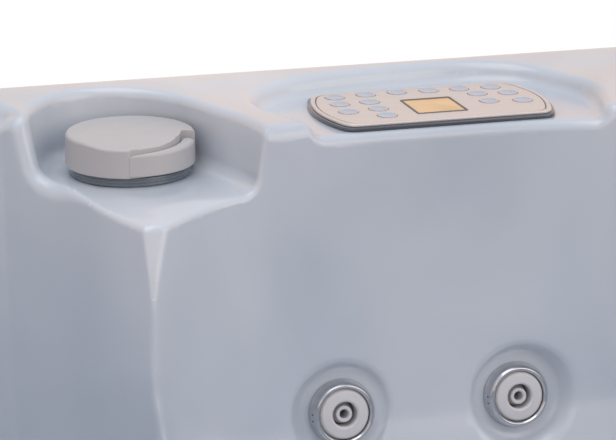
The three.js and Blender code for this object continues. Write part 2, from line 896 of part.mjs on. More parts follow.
// Button places as shares of the panel's half width and half depth
const buttonShares = [
  [-0.79, 0.69], [-0.48, 0.73], [-0.82, 0.28], [-0.53, 0.29], [-0.83, -0.19],
  [-0.53, -0.13], [-0.53, -0.54], [-0.17, 0.75], [0.14, 0.72], [0.44, 0.7],
  [0.75, 0.68], [0.54, 0.34], [0.83, 0.27], [0.55, -0.13], [0.86, -0.22],
];
const buttonPlaces = buttonShares.map(([a, b]) => [panelX + a * panelWidth / 2, panelY + b * panelDepth / 2]);

function makeHousing() {
  const face = solid(placed(plate(panelShape(0), housingBottom, housingTop, plateSteps), panelX, panelY, 0));
  const boss = boxSolid(
    panelX - bossWidth / 2, panelX + bossWidth / 2, panelY - bossDepth / 2, panelY + bossDepth / 2,
    housingBottom - bossHeight, housingBottom + seat,
  );
  return face.add(boss);
}

function windowShape(clearance, extra) {
  const x = windowWidth / 2 + clearance;
  const y = windowDepth / 2 + clearance;
  return box(-x, x, -y, y, overlayBottom - extra, overlayTop + windowRise + extra);
}

function makeOverlay() {
  const sheet = plate(panelShape(overlayInset), overlayBottom, overlayTop, plateSteps);
  let face = solid(placed(sheet, panelX, panelY, 0));
  for (const [x, y] of buttonPlaces) {
    const hole = bar(buttonRadius + buttonClearance, overlayBottom - overrun, overlayTop + overrun, coarse);
    face = face.subtract(solid(placed(hole, x, y, 0)));
  }
  const opening = windowShape(seat, overrun);
  return face.subtract(solid(placed(opening, panelX, panelY - windowShift, 0)));
}

function makeButton(x, y) {
  const low = housingTop + seat + buttonTravel;
  return placed(bar(buttonRadius, low, low + buttonHeight, coarse), x, y, 0);
}

// Jets, drawn with the axis up from the dimple's floor and then laid square to the wall
function makeJetBody(x, link) {
  const tube = bar(jetTubeRadius, -jetTubeLength, seat, medium);
  const flange = bar(jetFlangeRadius, seat, seat + jetFlange, medium);
  const bore = bar(jetTubeBore, jetTubeBore - jetTubeLength, seat + jetFlange + overrun, medium);
  const boreReach = link > 0 ? link + overrun : 0;
  const branch = placed(alongX(bar(jetPortRadius, -jetPortLength, link, small)), 0, 0, -jetPortSet);
  const branchBore = alongX(bar(jetPortRadius - jetFlange, -jetPortLength - overrun, boreReach, small));
  const body = solid(tube)
    .add(solid(flange))
    .add(solid(branch))
    .subtract(solid(bore))
    .subtract(solid(placed(branchBore, 0, 0, -jetPortSet)));
  return jetPlaced(toGeometry(body), x);
}

const faceLow = seat + jetFlange + seat;

function makeEscutcheon(x) {
  const round = escutcheonHeight / 3;
  const top = faceLow + escutcheonHeight;
  return jetPlaced(turned([
    [escutcheonBore, faceLow], [escutcheonRadius, faceLow], [escutcheonRadius, top - round],
    [escutcheonRadius - round, top], [escutcheonBore, top],
  ], medium), x);
}

function makeFace(x) {
  const sleeve = jetTubeBore - running;
  const top = faceLow + faceHeight;
  const back = seat + jetFlange;
  return jetPlaced(turned([
    [socketRadius, back - faceSleeve], [sleeve, back - faceSleeve], [sleeve, faceLow],
    [faceRadius, faceLow], [faceRadius, top - jetFlange], [faceRadius - jetFlange, top],
    [socketRadius + jetFlange / 2, top], [socketRadius, top - jetFlange],
  ], medium), x);
}

// The swivelling nozzle: a ball in the face's socket with a short tube on it
const ballHeight = faceLow + faceHeight - socketDepth;

function makeNozzle(x) {
  const top = faceLow + faceHeight - nozzleProud;
  const ball = [];
  const steps = 4;
  const start = Math.asin(nozzleBore / nozzleBall);
  const end = Math.PI - Math.asin(nozzleRadius / nozzleBall);
  for (let i = 0; i <= steps; i += 1) {
    const angle = start + (end - start) * (i / steps);
    ball.push([nozzleBall * Math.sin(angle), ballHeight - nozzleBall * Math.cos(angle)]);
  }
  return jetPlaced(turned([...ball, [nozzleRadius, top], [nozzleBore, top]], coarse), x);
}

// Pump on the pan under the front seat
const pumpZ = panThickness + footHeight + pumpRadius;
const pumpX = motorX + motorLength / 2 + seat + pumpThickness / 2;
const dischargeTop = pumpZ + pumpRadius + portLength;
const suctionFaceX = pumpX + pumpThickness / 2 + portLength;

function foot(x0, x1, width, top) {
  return boxSolid(x0, x1, equipmentY - width / 2, equipmentY + width / 2, deck, top);
}

function makeMotor() {
  const cover = motorLength / 4;
  const x0 = motorX - motorLength / 2;
  const barrel = motorRadius - motorRib;
  const body = alongX(turned([
    [0, 0], [motorRadius - motorDome, 0], [motorRadius, motorDome], [motorRadius, cover],
    [barrel, cover], [barrel, motorLength], [0, motorLength],
  ], medium));
  const bore = alongX(bar(driveShaftRadius + running * 2, motorLength - cover, motorLength + overrun, small));
  return solid(placed(body, x0, equipmentY, pumpZ))
    .add(foot(x0 + cover, x0 + cover * 3, motorRadius, pumpZ - motorRadius / 2))
    .subtract(solid(placed(bore, x0, equipmentY, pumpZ)));
}

function makeWetEnd() {
  const reach = pumpThickness / 2;
  const inside = reach - pumpWall * 2;
  const drum = alongX(bar(pumpRadius, -reach, reach, medium));
  const hollowDrum = alongX(bar(pumpRadius - pumpWall * 2, -inside, inside, medium));
  const stub = alongX(bar(portRadius, 0, reach + portLength, medium));
  const eye = alongX(bar(portBore, 0, reach + portLength + overrun, medium));
  const shaftHole = alongX(bar(driveShaftRadius + running * 2, -reach - overrun, 0, small));
  const rise = bar(portRadius, pumpRadius / 2, pumpRadius + portLength, medium);
  const riseBore = bar(portBore, pumpRadius / 2, pumpRadius + portLength + overrun, medium);
  const x0 = pumpX - reach;
  return solid(drum)
    .add(solid(stub))
    .add(solid(rise))
    .subtract(solid(hollowDrum))
    .subtract(solid(eye))
    .subtract(solid(shaftHole))
    .subtract(solid(riseBore))
    .translate([pumpX, equipmentY, pumpZ])
    .add(foot(x0, x0 + pumpThickness, pumpRadius, pumpZ - pumpRadius + pumpWall));
}

function makeImpeller() {
  const disc = alongX(bar(impellerRadius, -impellerThickness / 2, impellerThickness / 2, coarse));
  const back = -pumpThickness / 2 - seat - motorLength / 4 + running;
  const shaft = alongX(bar(driveShaftRadius, back, 0, small));
  return solid(disc).add(solid(shaft)).translate([pumpX, equipmentY, pumpZ]);
}

// A pipe with its bore, or a solid rod, along a smooth route
function pipe(points, radius, bore, steps) {
  const shape = new THREE.Shape();
  shape.absarc(0, 0, radius, 0, Math.PI * 2, false);
  if (bore > 0) {
    const hole = new THREE.Path();
    hole.absarc(0, 0, bore, 0, Math.PI * 2, true);
    shape.holes.push(hole);
  }
  const route = new THREE.CatmullRomCurve3(points.map((p) => new THREE.Vector3(...p)), false, 'centripetal');
  const options = { extrudePath: route, steps, bevelEnabled: false, curveSegments: pipeSegments };
  return new THREE.ExtrudeGeometry(shape, options);
}

const cosFooting = Math.cos(footwellAngle);
const sinFooting = Math.sin(footwellAngle);

function makeSuctionPipe() {
  const tail = suctionTail + seat;
  const y = -fittingY - tail * cosFooting;
  const z = fittingHeight - tail * sinFooting;
  const run = portLength * 2;
  return pipe([
    [0, y, z],
    [0, y - run * cosFooting, z - run * sinFooting],
    [0, y - run * 2, (z + pumpZ) / 2],
    [run / 2, equipmentY + run, pumpZ + portLength],
    [run * 0.9, equipmentY, pumpZ],
    [suctionFaceX + run / 2, equipmentY, pumpZ],
    [suctionFaceX + seat, equipmentY, pumpZ],
  ], pipeRadius, pipeBore, 14);
}

const heaterLeft = heaterX - heaterLength / 2;
const heaterRight = heaterX + heaterLength / 2;

function makeHeater() {
  const level = (radius, x0, x1) => placed(alongX(bar(radius, x0, x1, medium)), 0, equipmentY, heaterZ);
  const tube = level(heaterRadius, heaterLeft, heaterRight);
  const bore = level(heaterRadius - neckWall / 2, heaterLeft + neckWall, heaterRight - neckWall);
  const way = level(pipeBore, heaterRight - neckWall * 2, heaterRight + overrun);
  const route = [
    [pumpX, equipmentY, dischargeTop + seat],
    [pumpX, equipmentY, dischargeTop + portLength],
    [pumpX + portLength * 2, equipmentY, dischargeTop + portLength * 2.4],
    [heaterLeft - portLength * 3, equipmentY, heaterZ + portLength * 2],
    [heaterLeft - portLength, equipmentY, heaterZ],
    [heaterLeft + neckWall * 1.5, equipmentY, heaterZ],
  ];
  const saddleWidth = footHeight;
  const saddleTop = heaterZ - heaterRadius + neckWall / 2;
  return solid(tube)
    .add(foot(heaterLeft + saddleWidth * 2, heaterLeft + saddleWidth * 3, heaterRadius, saddleTop))
    .add(foot(heaterRight - saddleWidth * 3, heaterRight - saddleWidth * 2, heaterRadius, saddleTop))
    .add(solid(pipe(route, pipeRadius, 0, 10)))
    .subtract(solid(pipe(route, pipeBore, 0, 10)))
    .subtract(solid(bore))
    .subtract(solid(way));
}

function makeControlBox() {
  const back = -wallInner + seat;
  return boxSolid(boxX - boxWidth / 2, boxX + boxWidth / 2, back, back + boxDepth, deck, deck + boxHeight);
}

// The pressure pipe runs under the right-hand seats and rises behind the ridge to the diverter
const pipeRunX = wallInner - pipeRunInset;
const pipeRunZ = seatLevel - pipeRunDrop;

function makePressurePipe() {
  const endZ = valveBottom - portLength - seat;
  return pipe([
    [heaterRight + seat, equipmentY, heaterZ],
    [heaterRight + portLength * 2, equipmentY, heaterZ],
    [pipeRunX - portLength, equipmentY + portLength * 2, heaterZ + portLength * 2],
    [pipeRunX, -fittingY, pipeRunZ],
    [pipeRunX, fittingY, pipeRunZ],
    [pipeRunX / 2, knobY - portLength, pipeRunZ],
    [-portLength, knobY, pipeRunZ + portLength],
    [knobX + portLength * 2, knobY, pipeRunZ + portLength * 2],
    [knobX, knobY, pipeRunZ + portLength * 5],
    [knobX, knobY, endZ - portLength * 3],
    [knobX, knobY, endZ],
  ], pipeRadius, pipeBore, 26);
}

function makeFeedPipe() {
  const x0 = knobX + valveRadius + portLength + seat;
  const x1 = jetLeftX - jetPortLength - seat;
  const back = dimpleDepth + jetPortSet;
  const y = jetWallY + back * Math.cos(rad(wallLeanDegrees));
  const z = jetHeight - back * Math.sin(rad(wallLeanDegrees));
  const lead = jetPortRadius;
  return pipe([
    [x0, knobY, outletZ],
    [x0 + lead, knobY, outletZ],
    [(x0 + x1) / 2 + lead / 2, (knobY + y) / 2, (outletZ + z) / 2],
    [x1 - lead, y, z],
    [x1, y, z],
  ], jetPortRadius, jetPortRadius - jetFlange, 12);
}

// Skimmer filter in the left side: well with a throat to the cavity, weir door, lid and cartridge
const wellTop = tubHeight - seat;
const wellBottom = tubHeight - filterDepth;
const throatInner = weirWidth / 2 - weirThickness;
const throatFloor = weirTop - weirHeight + weirThickness;

function makeWell() {
  const floor = wellBottom + filterWall;
  const tailEnd = wellBottom - portLength;
  const upright = (radius, z0, z1) => placed(bar(radius, z0, z1, medium), filterX, 0, 0);
  const tube = upright(filterRadius, wellBottom, wellTop);
  const bore = upright(filterRadius - filterWall, floor, tubHeight + overrun);
  const outlet = upright(pipeRadius, tailEnd, floor);
  const outletBore = upright(pipeBore, tailEnd - overrun, floor + filterWall);
  const mouth = weirWallX + weirThickness;
  return solid(tube)
    .add(throatBox(0, filterX, mouth))
    .add(solid(outlet))
    .subtract(solid(bore))
    .subtract(throatBox(-weirThickness, filterX, mouth + overrun))
    .subtract(solid(outletBore));
}

const hingeX = weirWallX - weirThickness * 2;
const barrelRadius = weirThickness;
const hingeZ = throatFloor + seat + barrelRadius;

function makeWeir() {
  const width = throatInner - seat;
  const barrel = bar(barrelRadius, -width, width, small);
  barrel.rotateX(Math.PI / 2);
  const door = boxSolid(
    -weirThickness / 2, weirThickness / 2, -width, width, 0, weirTop - weirThickness * 3 - hingeZ,
  );
  return solid(barrel).add(door).translate([hingeX, 0, hingeZ]);
}

function makeLid() {
  const low = tubHeight + seat;
  const plugRadius = filterRadius - filterWall - lidClearance;
  const edge = lidThickness / 3;
  return placed(turned([
    [0, low - lidPlug], [plugRadius, low - lidPlug], [plugRadius, low], [lidRadius, low],
    [lidRadius, low + edge], [lidRadius - edge * 2, low + lidThickness], [0, low + lidThickness],
  ], medium), filterX, 0, 0);
}

function makeCartridge() {
  const shape = new THREE.Shape();
  for (let i = 0; i < pleatCount * 2; i += 1) {
    const angle = i * Math.PI / pleatCount;
    const r = i % 2 === 0 ? cartridgeRadius : cartridgeRadius - pleatDepth;
    const x = r * Math.cos(angle);
    const y = r * Math.sin(angle);
    if (i === 0) {
      shape.moveTo(x, y);
    } else {
      shape.lineTo(x, y);
    }
  }
  const core = new THREE.Path();
  core.absarc(0, 0, cartridgeBore, 0, Math.PI * 2, true);
  shape.holes.push(core);
  const low = wellBottom + filterWall + seat;
  return placed(plate(shape, low, low + cartridgeLength, 4), filterX, 0, 0);
}

// Footwell fittings
function makeSuctionCover() {
  return footwellPlaced(turned([
    [pipeBore, -suctionTail], [pipeRadius, -suctionTail], [pipeRadius, seat], [suctionRadius, seat],
    [suctionRadius, suctionDome / 3], [suctionRadius * 0.7, suctionDome], [0, suctionDome],
    [0, suctionDome * 0.6], [pipeBore, suctionDome * 0.6],
  ], medium), -1);
}

function makeLight() {
  return footwellPlaced(turned([
    [0, -lightTail], [lightTailRadius, -lightTail], [lightTailRadius, seat], [lightRadius, seat],
    [lightRadius, lightDome / 3], [lightRadius * 0.7, lightDome * 0.8], [0, lightDome],
  ], medium), 1);
}

// Drain valve through the service panel
function drainAxis(geometry) {
  geometry.rotateX(Math.PI / 2);
  return placed(geometry, drainX, 0, drainHeight);
}

function drainHole() {
  return solid(drainAxis(bar(drainStem + running, wallInner - overrun, cabinetReach + overrun, medium)));
}

function makeDrain() {
  const low = cabinetReach + seat;
  return drainAxis(turned([
    [0, wallInner], [drainStem, wallInner], [drainStem, low], [drainRadius, low],
    [drainRadius, low + drainCap], [0, low + drainCap],
  ], medium));
}

add('shell', makeShell(), acrylic);
add('base_pan', makePan(), pan);
const notches = wallNotch(knobX, pocketReachX, pocketFloor).add(wallNotch(panelX, recessReachX, recessFloor));
const cuts = { back: notches, front: drainHole() };
for (const [side, turn] of Object.entries(sideTurns)) {
  const wall = makeWall(turn);
  const cover = makePanel(turn);
  add(`frame_wall_${side}`, cuts[side] ? wall.subtract(cuts[side]) : wall, insulation);
  add(`cabinet_panel_${side}`, side === 'front' ? cover.subtract(drainHole()) : cover, board);
}
const cornerTurns = { back_right: 0, back_left: Math.PI / 2, front_left: Math.PI, front_right: -Math.PI / 2 };
for (const [corner, turn] of Object.entries(cornerTurns)) {
  add(`corner_post_${corner}`, makePost(turn), board);
}
add('diverter_knob', makeKnob(), warmGrey);
add('diverter_grip', makeGrip(), warmGrey);
add('diverter_ring', makeRing(), darkGloss);
add('diverter_valve', makeValve(), whitePipe);
add('diverter_rotor', makeRotor(), pumpBlack);
add('panel_housing', makeHousing(), darkGloss);
add('panel_overlay', makeOverlay(), silver);
add('display_window', placed(windowShape(0, 0), panelX, panelY - windowShift, 0), amber);
buttonPlaces.forEach(([x, y], i) => {
  add(`button_${String(i + 1).padStart(2, '0')}`, makeButton(x, y), buttonBlue);
});
const jetLink = 2 * jetOffset - jetPortLength - seat;
for (const [side, x] of [['left', jetLeftX], ['right', jetRightX]]) {
  add(`jet_body_${side}`, makeJetBody(x, side === 'left' ? jetLink : 0), whitePipe);
  add(`jet_escutcheon_${side}`, makeEscutcheon(x), steel);
  add(`jet_face_${side}`, makeFace(x), jetGrey);
  add(`jet_nozzle_${side}`, makeNozzle(x), jetGrey);
}
add('pump_motor', makeMotor(), motorPaint);
add('pump_wet_end', makeWetEnd(), pumpBlack);
add('pump_impeller', makeImpeller(), steel);
add('heater', makeHeater(), steel);
add('control_box', makeControlBox(), boxGrey);
add('suction_pipe', makeSuctionPipe(), whitePipe);
add('pressure_pipe', makePressurePipe(), whitePipe);
add('feed_pipe', makeFeedPipe(), whitePipe);
add('filter_well', makeWell(), whitePipe);
add('filter_weir', makeWeir(), jetGrey);
add('filter_lid', makeLid(), warmGrey);
add('filter_cartridge', makeCartridge(), filterWhite);
add('suction_cover', makeSuctionCover(), jetGrey);
add('light_lens', makeLight(), filterWhite);
add('drain_valve', makeDrain(), pumpBlack);

export default group;
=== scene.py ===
# Hot tub, seen close over the rim: diverter knob in its pocket, control panel in its recess, and two jets.
# Metres, +Z up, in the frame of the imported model.

import itertools
import json
import math
from functools import cache

import bmesh
import bpy
import numpy as np
import openvdb as vdb
from mathutils import Matrix, Vector


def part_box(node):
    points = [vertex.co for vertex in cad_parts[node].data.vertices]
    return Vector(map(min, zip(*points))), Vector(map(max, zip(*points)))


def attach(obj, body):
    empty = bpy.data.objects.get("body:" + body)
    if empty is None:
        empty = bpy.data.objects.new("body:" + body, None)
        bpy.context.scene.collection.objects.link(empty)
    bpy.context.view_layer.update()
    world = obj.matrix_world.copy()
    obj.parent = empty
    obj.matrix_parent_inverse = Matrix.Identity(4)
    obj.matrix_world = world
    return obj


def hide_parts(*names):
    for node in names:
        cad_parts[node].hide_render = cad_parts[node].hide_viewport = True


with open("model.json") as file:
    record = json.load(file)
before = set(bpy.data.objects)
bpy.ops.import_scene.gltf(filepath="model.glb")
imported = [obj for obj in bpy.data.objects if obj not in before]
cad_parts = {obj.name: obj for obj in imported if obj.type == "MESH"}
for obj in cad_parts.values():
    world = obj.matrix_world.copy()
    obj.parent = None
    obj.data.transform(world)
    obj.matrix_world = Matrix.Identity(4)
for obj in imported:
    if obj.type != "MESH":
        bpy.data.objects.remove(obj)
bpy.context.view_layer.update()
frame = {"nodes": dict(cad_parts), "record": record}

MM = 0.001


# Camera: where the photograph was taken from, fitted to the rim's edge, the knob, the panel and the jets

CAMERA_PLACE = Vector((-0.751, -1.4013, 1.4755))
CAMERA_TARGET = Vector((-0.0724, 0.9, 0.773))
CAMERA_FOCAL_PIXELS = 2705
PICTURE_WIDTH = 616
SENSOR_WIDTH = 36
CAMERA_REACH = 100


def new_object(name, data):
    thing = bpy.data.objects.new(name, data)
    bpy.context.scene.collection.objects.link(thing)
    return thing


def aimed(name, data, place, target):
    """A camera or a lamp at a place, turned to its target."""
    thing = new_object(name, data)
    thing.location = place
    thing.rotation_euler = (Vector(target) - Vector(place)).to_track_quat("-Z", "Y").to_euler()
    return thing


def make_camera():
    data = bpy.data.cameras.new("camera")
    data.sensor_width = SENSOR_WIDTH
    data.lens = CAMERA_FOCAL_PIXELS * SENSOR_WIDTH / PICTURE_WIDTH
    data.clip_end = CAMERA_REACH
    bpy.context.scene.camera = aimed("camera", data, CAMERA_PLACE, CAMERA_TARGET)


make_camera()


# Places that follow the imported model

tub_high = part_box("shell")[1]
HALF = tub_high.x
RIM_TOP = tub_high.z
SKIRT_FOOT = RIM_TOP - 48 * MM
RIM_CORNER = 170 * MM
SKIN = 10 * MM


def centre_of(node):
    low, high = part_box(node)
    return (low + high) / 2


KNOB = centre_of("diverter_ring")
PANEL = centre_of("panel_overlay")


# Cavity

SEAT_WALL = HALF - 194 * MM
NOSE_REACH = SEAT_WALL - 98 * MM
NOSE_OFFSET = 262 * MM
CORNER_WALL = HALF - 105 * MM
CORNER_START = 360 * MM
CORNER_RADIUS = 245 * MM
BAY_POWER = 3.4
LEAN = math.tan(math.radians(8))
PANEL_WALL_FORWARD = 20 * MM
WALL_TOP = RIM_TOP - 14 * MM
JET_DROP = WALL_TOP - centre_of("jet_escutcheon_left").z
NOSE_SPLAY = 0.05
SEAT_LEVEL = RIM_TOP - 430 * MM
CORNER_DROP = 24 * MM
BACKREST_RISE = 150 * MM
RIDGE_RISE = 90 * MM
FOOTWELL_REACH = 400 * MM
FOOTWELL_POWER = 5
FOOTWELL_FLOOR = 120 * MM
FOOTWELL_TAPER = 34 * MM
FOOTWELL_FILLET = 60 * MM
FLANK_SHARES = [(0, 0), (0.26, 0.36), (0.51, 0.7), (1, 1)]
SEAT_SHARES = [(0, 1), (0.06, 0.53), (0.17, 0.16), (0.42, -0.05), (0.85, 0), (1, -0.15)]
RIDGE_FALL = 0.8
RIDGE_FADE = 6
FOOTWELL_RIM = SEAT_LEVEL + BACKREST_RISE * SEAT_SHARES[-1][1]
FOOTWELL_LEAN = math.atan(FOOTWELL_TAPER / (FOOTWELL_RIM - FOOTWELL_FLOOR - FOOTWELL_FILLET))
FITTING_HEIGHT = FOOTWELL_FLOOR + 130 * MM
ABOVE_RIM = 60 * MM
FILLET_RINGS = 9
WALL_RINGS = 4
FITTING_Y = FOOTWELL_REACH - (FOOTWELL_RIM - FITTING_HEIGHT) * math.tan(FOOTWELL_LEAN)


def smooth_curve(points, steps):
    """Points of a Catmull-Rom curve through the given ones, in order, ends kept."""
    p = np.array(points, float)
    p = np.vstack([2 * p[0] - p[1], p, 2 * p[-1] - p[-2]])
    t = np.linspace(0, 1, steps, endpoint=False)[:, None]
    out = []
    for a, b, c, d in zip(p[:-3], p[1:-2], p[2:-1], p[3:]):
        square, cube = 2 * a - 5 * b + 4 * c - d, 3 * b - a - 3 * c + d
        out.append(0.5 * (2 * b + (c - a) * t + square * t**2 + cube * t**3))
    return np.vstack(out + [p[-2][None]])


def plan_eighth(steps):
    """x, y, ridge, corner, bay and turn from the middle of a side to the diagonal."""
    rows = []
    for share in np.linspace(0, 1, steps * 2, endpoint=False):
        y = SEAT_WALL - (SEAT_WALL - NOSE_REACH) * share**BAY_POWER
        rows.append((NOSE_OFFSET * share, y, share**RIDGE_FADE, 0, 1 - share**BAY_POWER, 0))
    for across, back in smooth_curve(FLANK_SHARES, steps // 2)[:-1]:
        x = NOSE_OFFSET + (CORNER_START - NOSE_OFFSET) * across
        y = NOSE_REACH + (CORNER_WALL - NOSE_REACH) * back
        rows.append((x, y, 1 - min(back, 1) ** 2, min(back, 1), 0, 0))
    centre = CORNER_WALL - CORNER_RADIUS
    for share in np.linspace(0, 1, steps, endpoint=False):
        rows.append((CORNER_START + (centre - CORNER_START) * share, CORNER_WALL, 0, 1, 0, 0))
    for share in np.linspace(0, 1, steps + 1):
        turn = share * math.pi / 4
        x, y = centre + CORNER_RADIUS * math.sin(turn), centre + CORNER_RADIUS * math.cos(turn)
        rows.append((x, y, 0, 1, 0, turn))
    return np.array(rows)


def full_plan(steps):
    """The whole plan, anticlockwise from +X: x, y, ridge, corner, bay, lean direction and footwell angle."""
    part = plan_eighth(steps)
    inner = np.linspace(0, 1, len(part)) * math.pi / 4
    x, y, ridge, corner, bay, turn = part.T
    there = np.stack([y, x, ridge, corner, bay, turn, inner], 1)
    back = np.stack([x, y, ridge, corner, bay, math.pi / 2 - turn, math.pi / 2 - inner], 1)[1:-1][::-1]
    quadrant = np.vstack([there, back])
    sides = []
    for side in range(4):
        angle = side * math.pi / 2
        c, s = math.cos(angle), math.sin(angle)
        turned = quadrant.copy()
        turned[:, 0] = c * quadrant[:, 0] - s * quadrant[:, 1]
        turned[:, 1] = s * quadrant[:, 0] + c * quadrant[:, 1]
        turned[:, 5:] += angle
        turned[np.abs(turned[:, 6] - math.pi / 2) > math.pi / 4 - 1e-9, 4] = 0
        turned[:, 1] -= PANEL_WALL_FORWARD * turned[:, 4]
        sides.append(turned)
    return np.vstack(sides)


def smooth_step(low, high, value):
    """0 at low and 1 at high, whichever of the two is the larger."""
    t = np.clip((value - low) / (high - low), 0, 1)
    return t * t * (3 - 2 * t)


def super_square(angle, reach):
    """Points in those directions on a square with well rounded corners."""
    c, s = np.cos(angle), np.sin(angle)
    r = reach / (np.abs(c) ** FOOTWELL_POWER + np.abs(s) ** FOOTWELL_POWER) ** (1 / FOOTWELL_POWER)
    return np.stack([r * c, r * s], 1)


def cavity_rings(plan, section_steps):
    """Rings of the cavity's skin from the floor up to above the rim."""
    ridge, corner, bay, lean, angle = plan.T[2:]
    slope = LEAN - PANEL_WALL_FORWARD / JET_DROP * bay
    count = len(plan)

    side = np.round(angle / (math.pi / 2)) * (math.pi / 2)
    aside = plan[:, 1] * np.cos(side) - plan[:, 0] * np.sin(side)
    far = np.abs(aside)
    fade = 1 - smooth_step(NOSE_OFFSET, CORNER_START, far)
    splay = NOSE_SPLAY * np.sign(aside) * np.minimum(far / NOSE_OFFSET, 1) * fade

    def wall(z):
        down = WALL_TOP - z
        x = plan[:, 0] - down * (slope * np.cos(lean) + splay * np.sin(side))
        y = plan[:, 1] - down * (slope * np.sin(lean) - splay * np.cos(side))
        return np.stack([x, y, z], 1)

    rings = []
    for share in np.linspace(0, 1, FILLET_RINGS):
        turn = share * math.pi / 2
        inset = FOOTWELL_TAPER + FOOTWELL_FILLET * (1 - math.sin(turn))
        z = FOOTWELL_FLOOR + FOOTWELL_FILLET * (1 - math.cos(turn))
        rings.append(np.column_stack([super_square(angle, FOOTWELL_REACH - inset), np.full(count, z)]))
    for across, rise in smooth_curve(SEAT_SHARES, section_steps)[::-1]:
        level = SEAT_LEVEL - CORNER_DROP * corner
        z = level + BACKREST_RISE * rise + RIDGE_RISE * ridge * (1 - RIDGE_FALL * across)
        top = wall(level + BACKREST_RISE + RIDGE_RISE * ridge)
        edge = super_square(angle, FOOTWELL_REACH)
        rings.append(np.column_stack([top[:, :2] + (edge - top[:, :2]) * across, z]))
    foot = rings[-1][:, 2]
    for k in range(WALL_RINGS):
        rings.append(wall(foot + (RIM_TOP + ABOVE_RIM - foot) * (k + 1) / WALL_RINGS))
    return rings


# Distance fields of the air in and over the moulding: negative in the air, positive in the acrylic

def closed_skin(rings, pole):
    """Points and triangles over rings of equal count, closed below and above by a fan about a pole (x, y)."""
    count = len(rings[0])
    ends = [np.append(pole, ring[:, 2].mean())[None] for ring in (rings[0], rings[-1])]
    points = np.vstack(rings + ends)
    j = np.arange(count)
    k = (j + 1) % count
    triangles = []
    for i in range(len(rings) - 1):
        a, b = i * count + j, i * count + k
        triangles += [np.stack([a, b, b + count], 1), np.stack([a, b + count, a + count], 1)]
    last = (len(rings) - 1) * count
    foot, head = len(points) - 2, len(points) - 1
    triangles.append(np.stack([np.full(count, foot), k, j], 1))
    triangles.append(np.stack([np.full(count, head), last + j, last + k], 1))
    return points, np.vstack(triangles)


def spline_weights(f):
    """Weights of the four nearest values in a cubic B-spline."""
    return np.stack([(1 - f) ** 3, 3 * f**3 - 6 * f**2 + 4, -3 * f**3 + 3 * f**2 + 3 * f + 1, f**3], -1) / 6


class Lattice:
    """Values on a regular lattice in two or three dimensions, read as a smooth cubic spline."""

    def __init__(self, values, origin, step):
        self.values = np.ascontiguousarray(values, np.float32)
        self.origin = np.asarray(origin, float)
        self.step = step

    def at(self, p):
        shape = np.array(self.values.shape)
        q = np.clip((p - self.origin) / self.step, 1, shape - 2.001)
        i = np.floor(q).astype(np.int64)
        w = spline_weights(q - i)
        flat = self.values.ravel()
        out = np.zeros(len(p))
        for steps in itertools.product(range(4), repeat=len(shape) - 1):
            row, weight = 0, 1
            for axis, a in enumerate(steps):
                row = (row + i[:, axis] + a - 1) * shape[axis + 1]
                weight = weight * w[:, axis, a]
            row = row + i[:, -1] - 1
            out += weight * sum(flat[row + c] * w[:, -1, c] for c in range(4))
        return out


def distance_lattice(points, triangles, step, reach, low, high):
    """Signed distance to a closed mesh, within that reach of it."""
    grid = vdb.FloatGrid.createLevelSetFromPolygons(
        points.astype(np.float32), triangles=triangles.astype(np.uint32),
        transform=vdb.createLinearTransform(voxelSize=step), halfWidth=reach / step,
    )
    start = np.floor(np.array(low) / step).astype(int)
    shape = np.ceil(np.array(high) / step).astype(int) - start + 1
    values = np.zeros(shape, np.float32)
    grid.copyToArray(values, ijk=tuple(int(v) for v in start))
    return Lattice(values, start * step, step)


def outline_lattice(outline, step, margin):
    """Signed distance to a closed outline in the plane, negative inside."""
    low = outline.min(0) - margin
    shape = np.ceil((outline.max(0) + margin - low) / step).astype(int) + 1
    axes = [np.arange(n) * step for n in shape]
    grid = np.stack(np.meshgrid(*axes, indexing="ij"), -1).reshape(-1, 2) + low
    after = np.roll(outline, -1, 0)
    nearest = np.full(len(grid), 1e9)
    inside = np.zeros(len(grid), bool)
    for a, b in zip(outline, after):
        edge = b - a
        t = np.clip(((grid - a) @ edge) / (edge @ edge), 0, 1)
        nearest = np.minimum(nearest, ((grid - a - t[:, None] * edge) ** 2).sum(1))
        crosses = (a[1] > grid[:, 1]) != (b[1] > grid[:, 1])
        if crosses.any():
            inside ^= crosses & (grid[:, 0] < a[0] + (grid[:, 1] - a[1]) * edge[0] / (edge[1] or 1e-12))
    return Lattice((np.sqrt(nearest) * np.where(inside, -1, 1)).reshape(shape), low, step)


PROBE = 0.4 * MM
LEAST_SLOPE = 0.2


def gradient(field, p):
    """Slope of a field at the points, from a probe to either side."""
    out = np.empty((len(p), 3))
    for axis in range(3):
        step = np.zeros(3)
        step[axis] = PROBE
        out[:, axis] = (field(p + step) - field(p - step)) / (2 * PROBE)
    return out


def joined(a, b, radius):
    """Union of two spaces, with a round fillet of that radius where they meet."""
    inside = np.hypot(np.maximum(radius - a, 0), np.maximum(radius - b, 0))
    return np.maximum(radius, np.minimum(a, b)) - inside


def common(a, b, radius):
    """What two spaces share, its edge rounded to that radius."""
    outside = np.hypot(np.maximum(radius + a, 0), np.maximum(radius + b, 0))
    return np.minimum(-radius, np.maximum(a, b)) + outside


BULK_STEPS = (32, 12)
BULK_STEP = 12 * MM
BULK_REACH = 60 * MM
BULK_MARGIN = 40 * MM
BULK_BELOW = 50 * MM
NEAR_STEPS = (64, 24)
NEAR_STEP = 3 * MM
NEAR_REACH = 24 * MM
NEAR_FADE = (0.5 * NEAR_REACH, 0.8 * NEAR_REACH)
NEAR_START = 0.55
NEAR_MOUTH = 0.3
NEAR_POLE = (0, 0.45)
NEAR_LOW = np.array((-0.44, 0.60, 0.50))
NEAR_HIGH = np.array((0.44, 0.93, 0.93))
NEAR_BAND = 30 * MM
RIDGE_SMOOTHING = 2


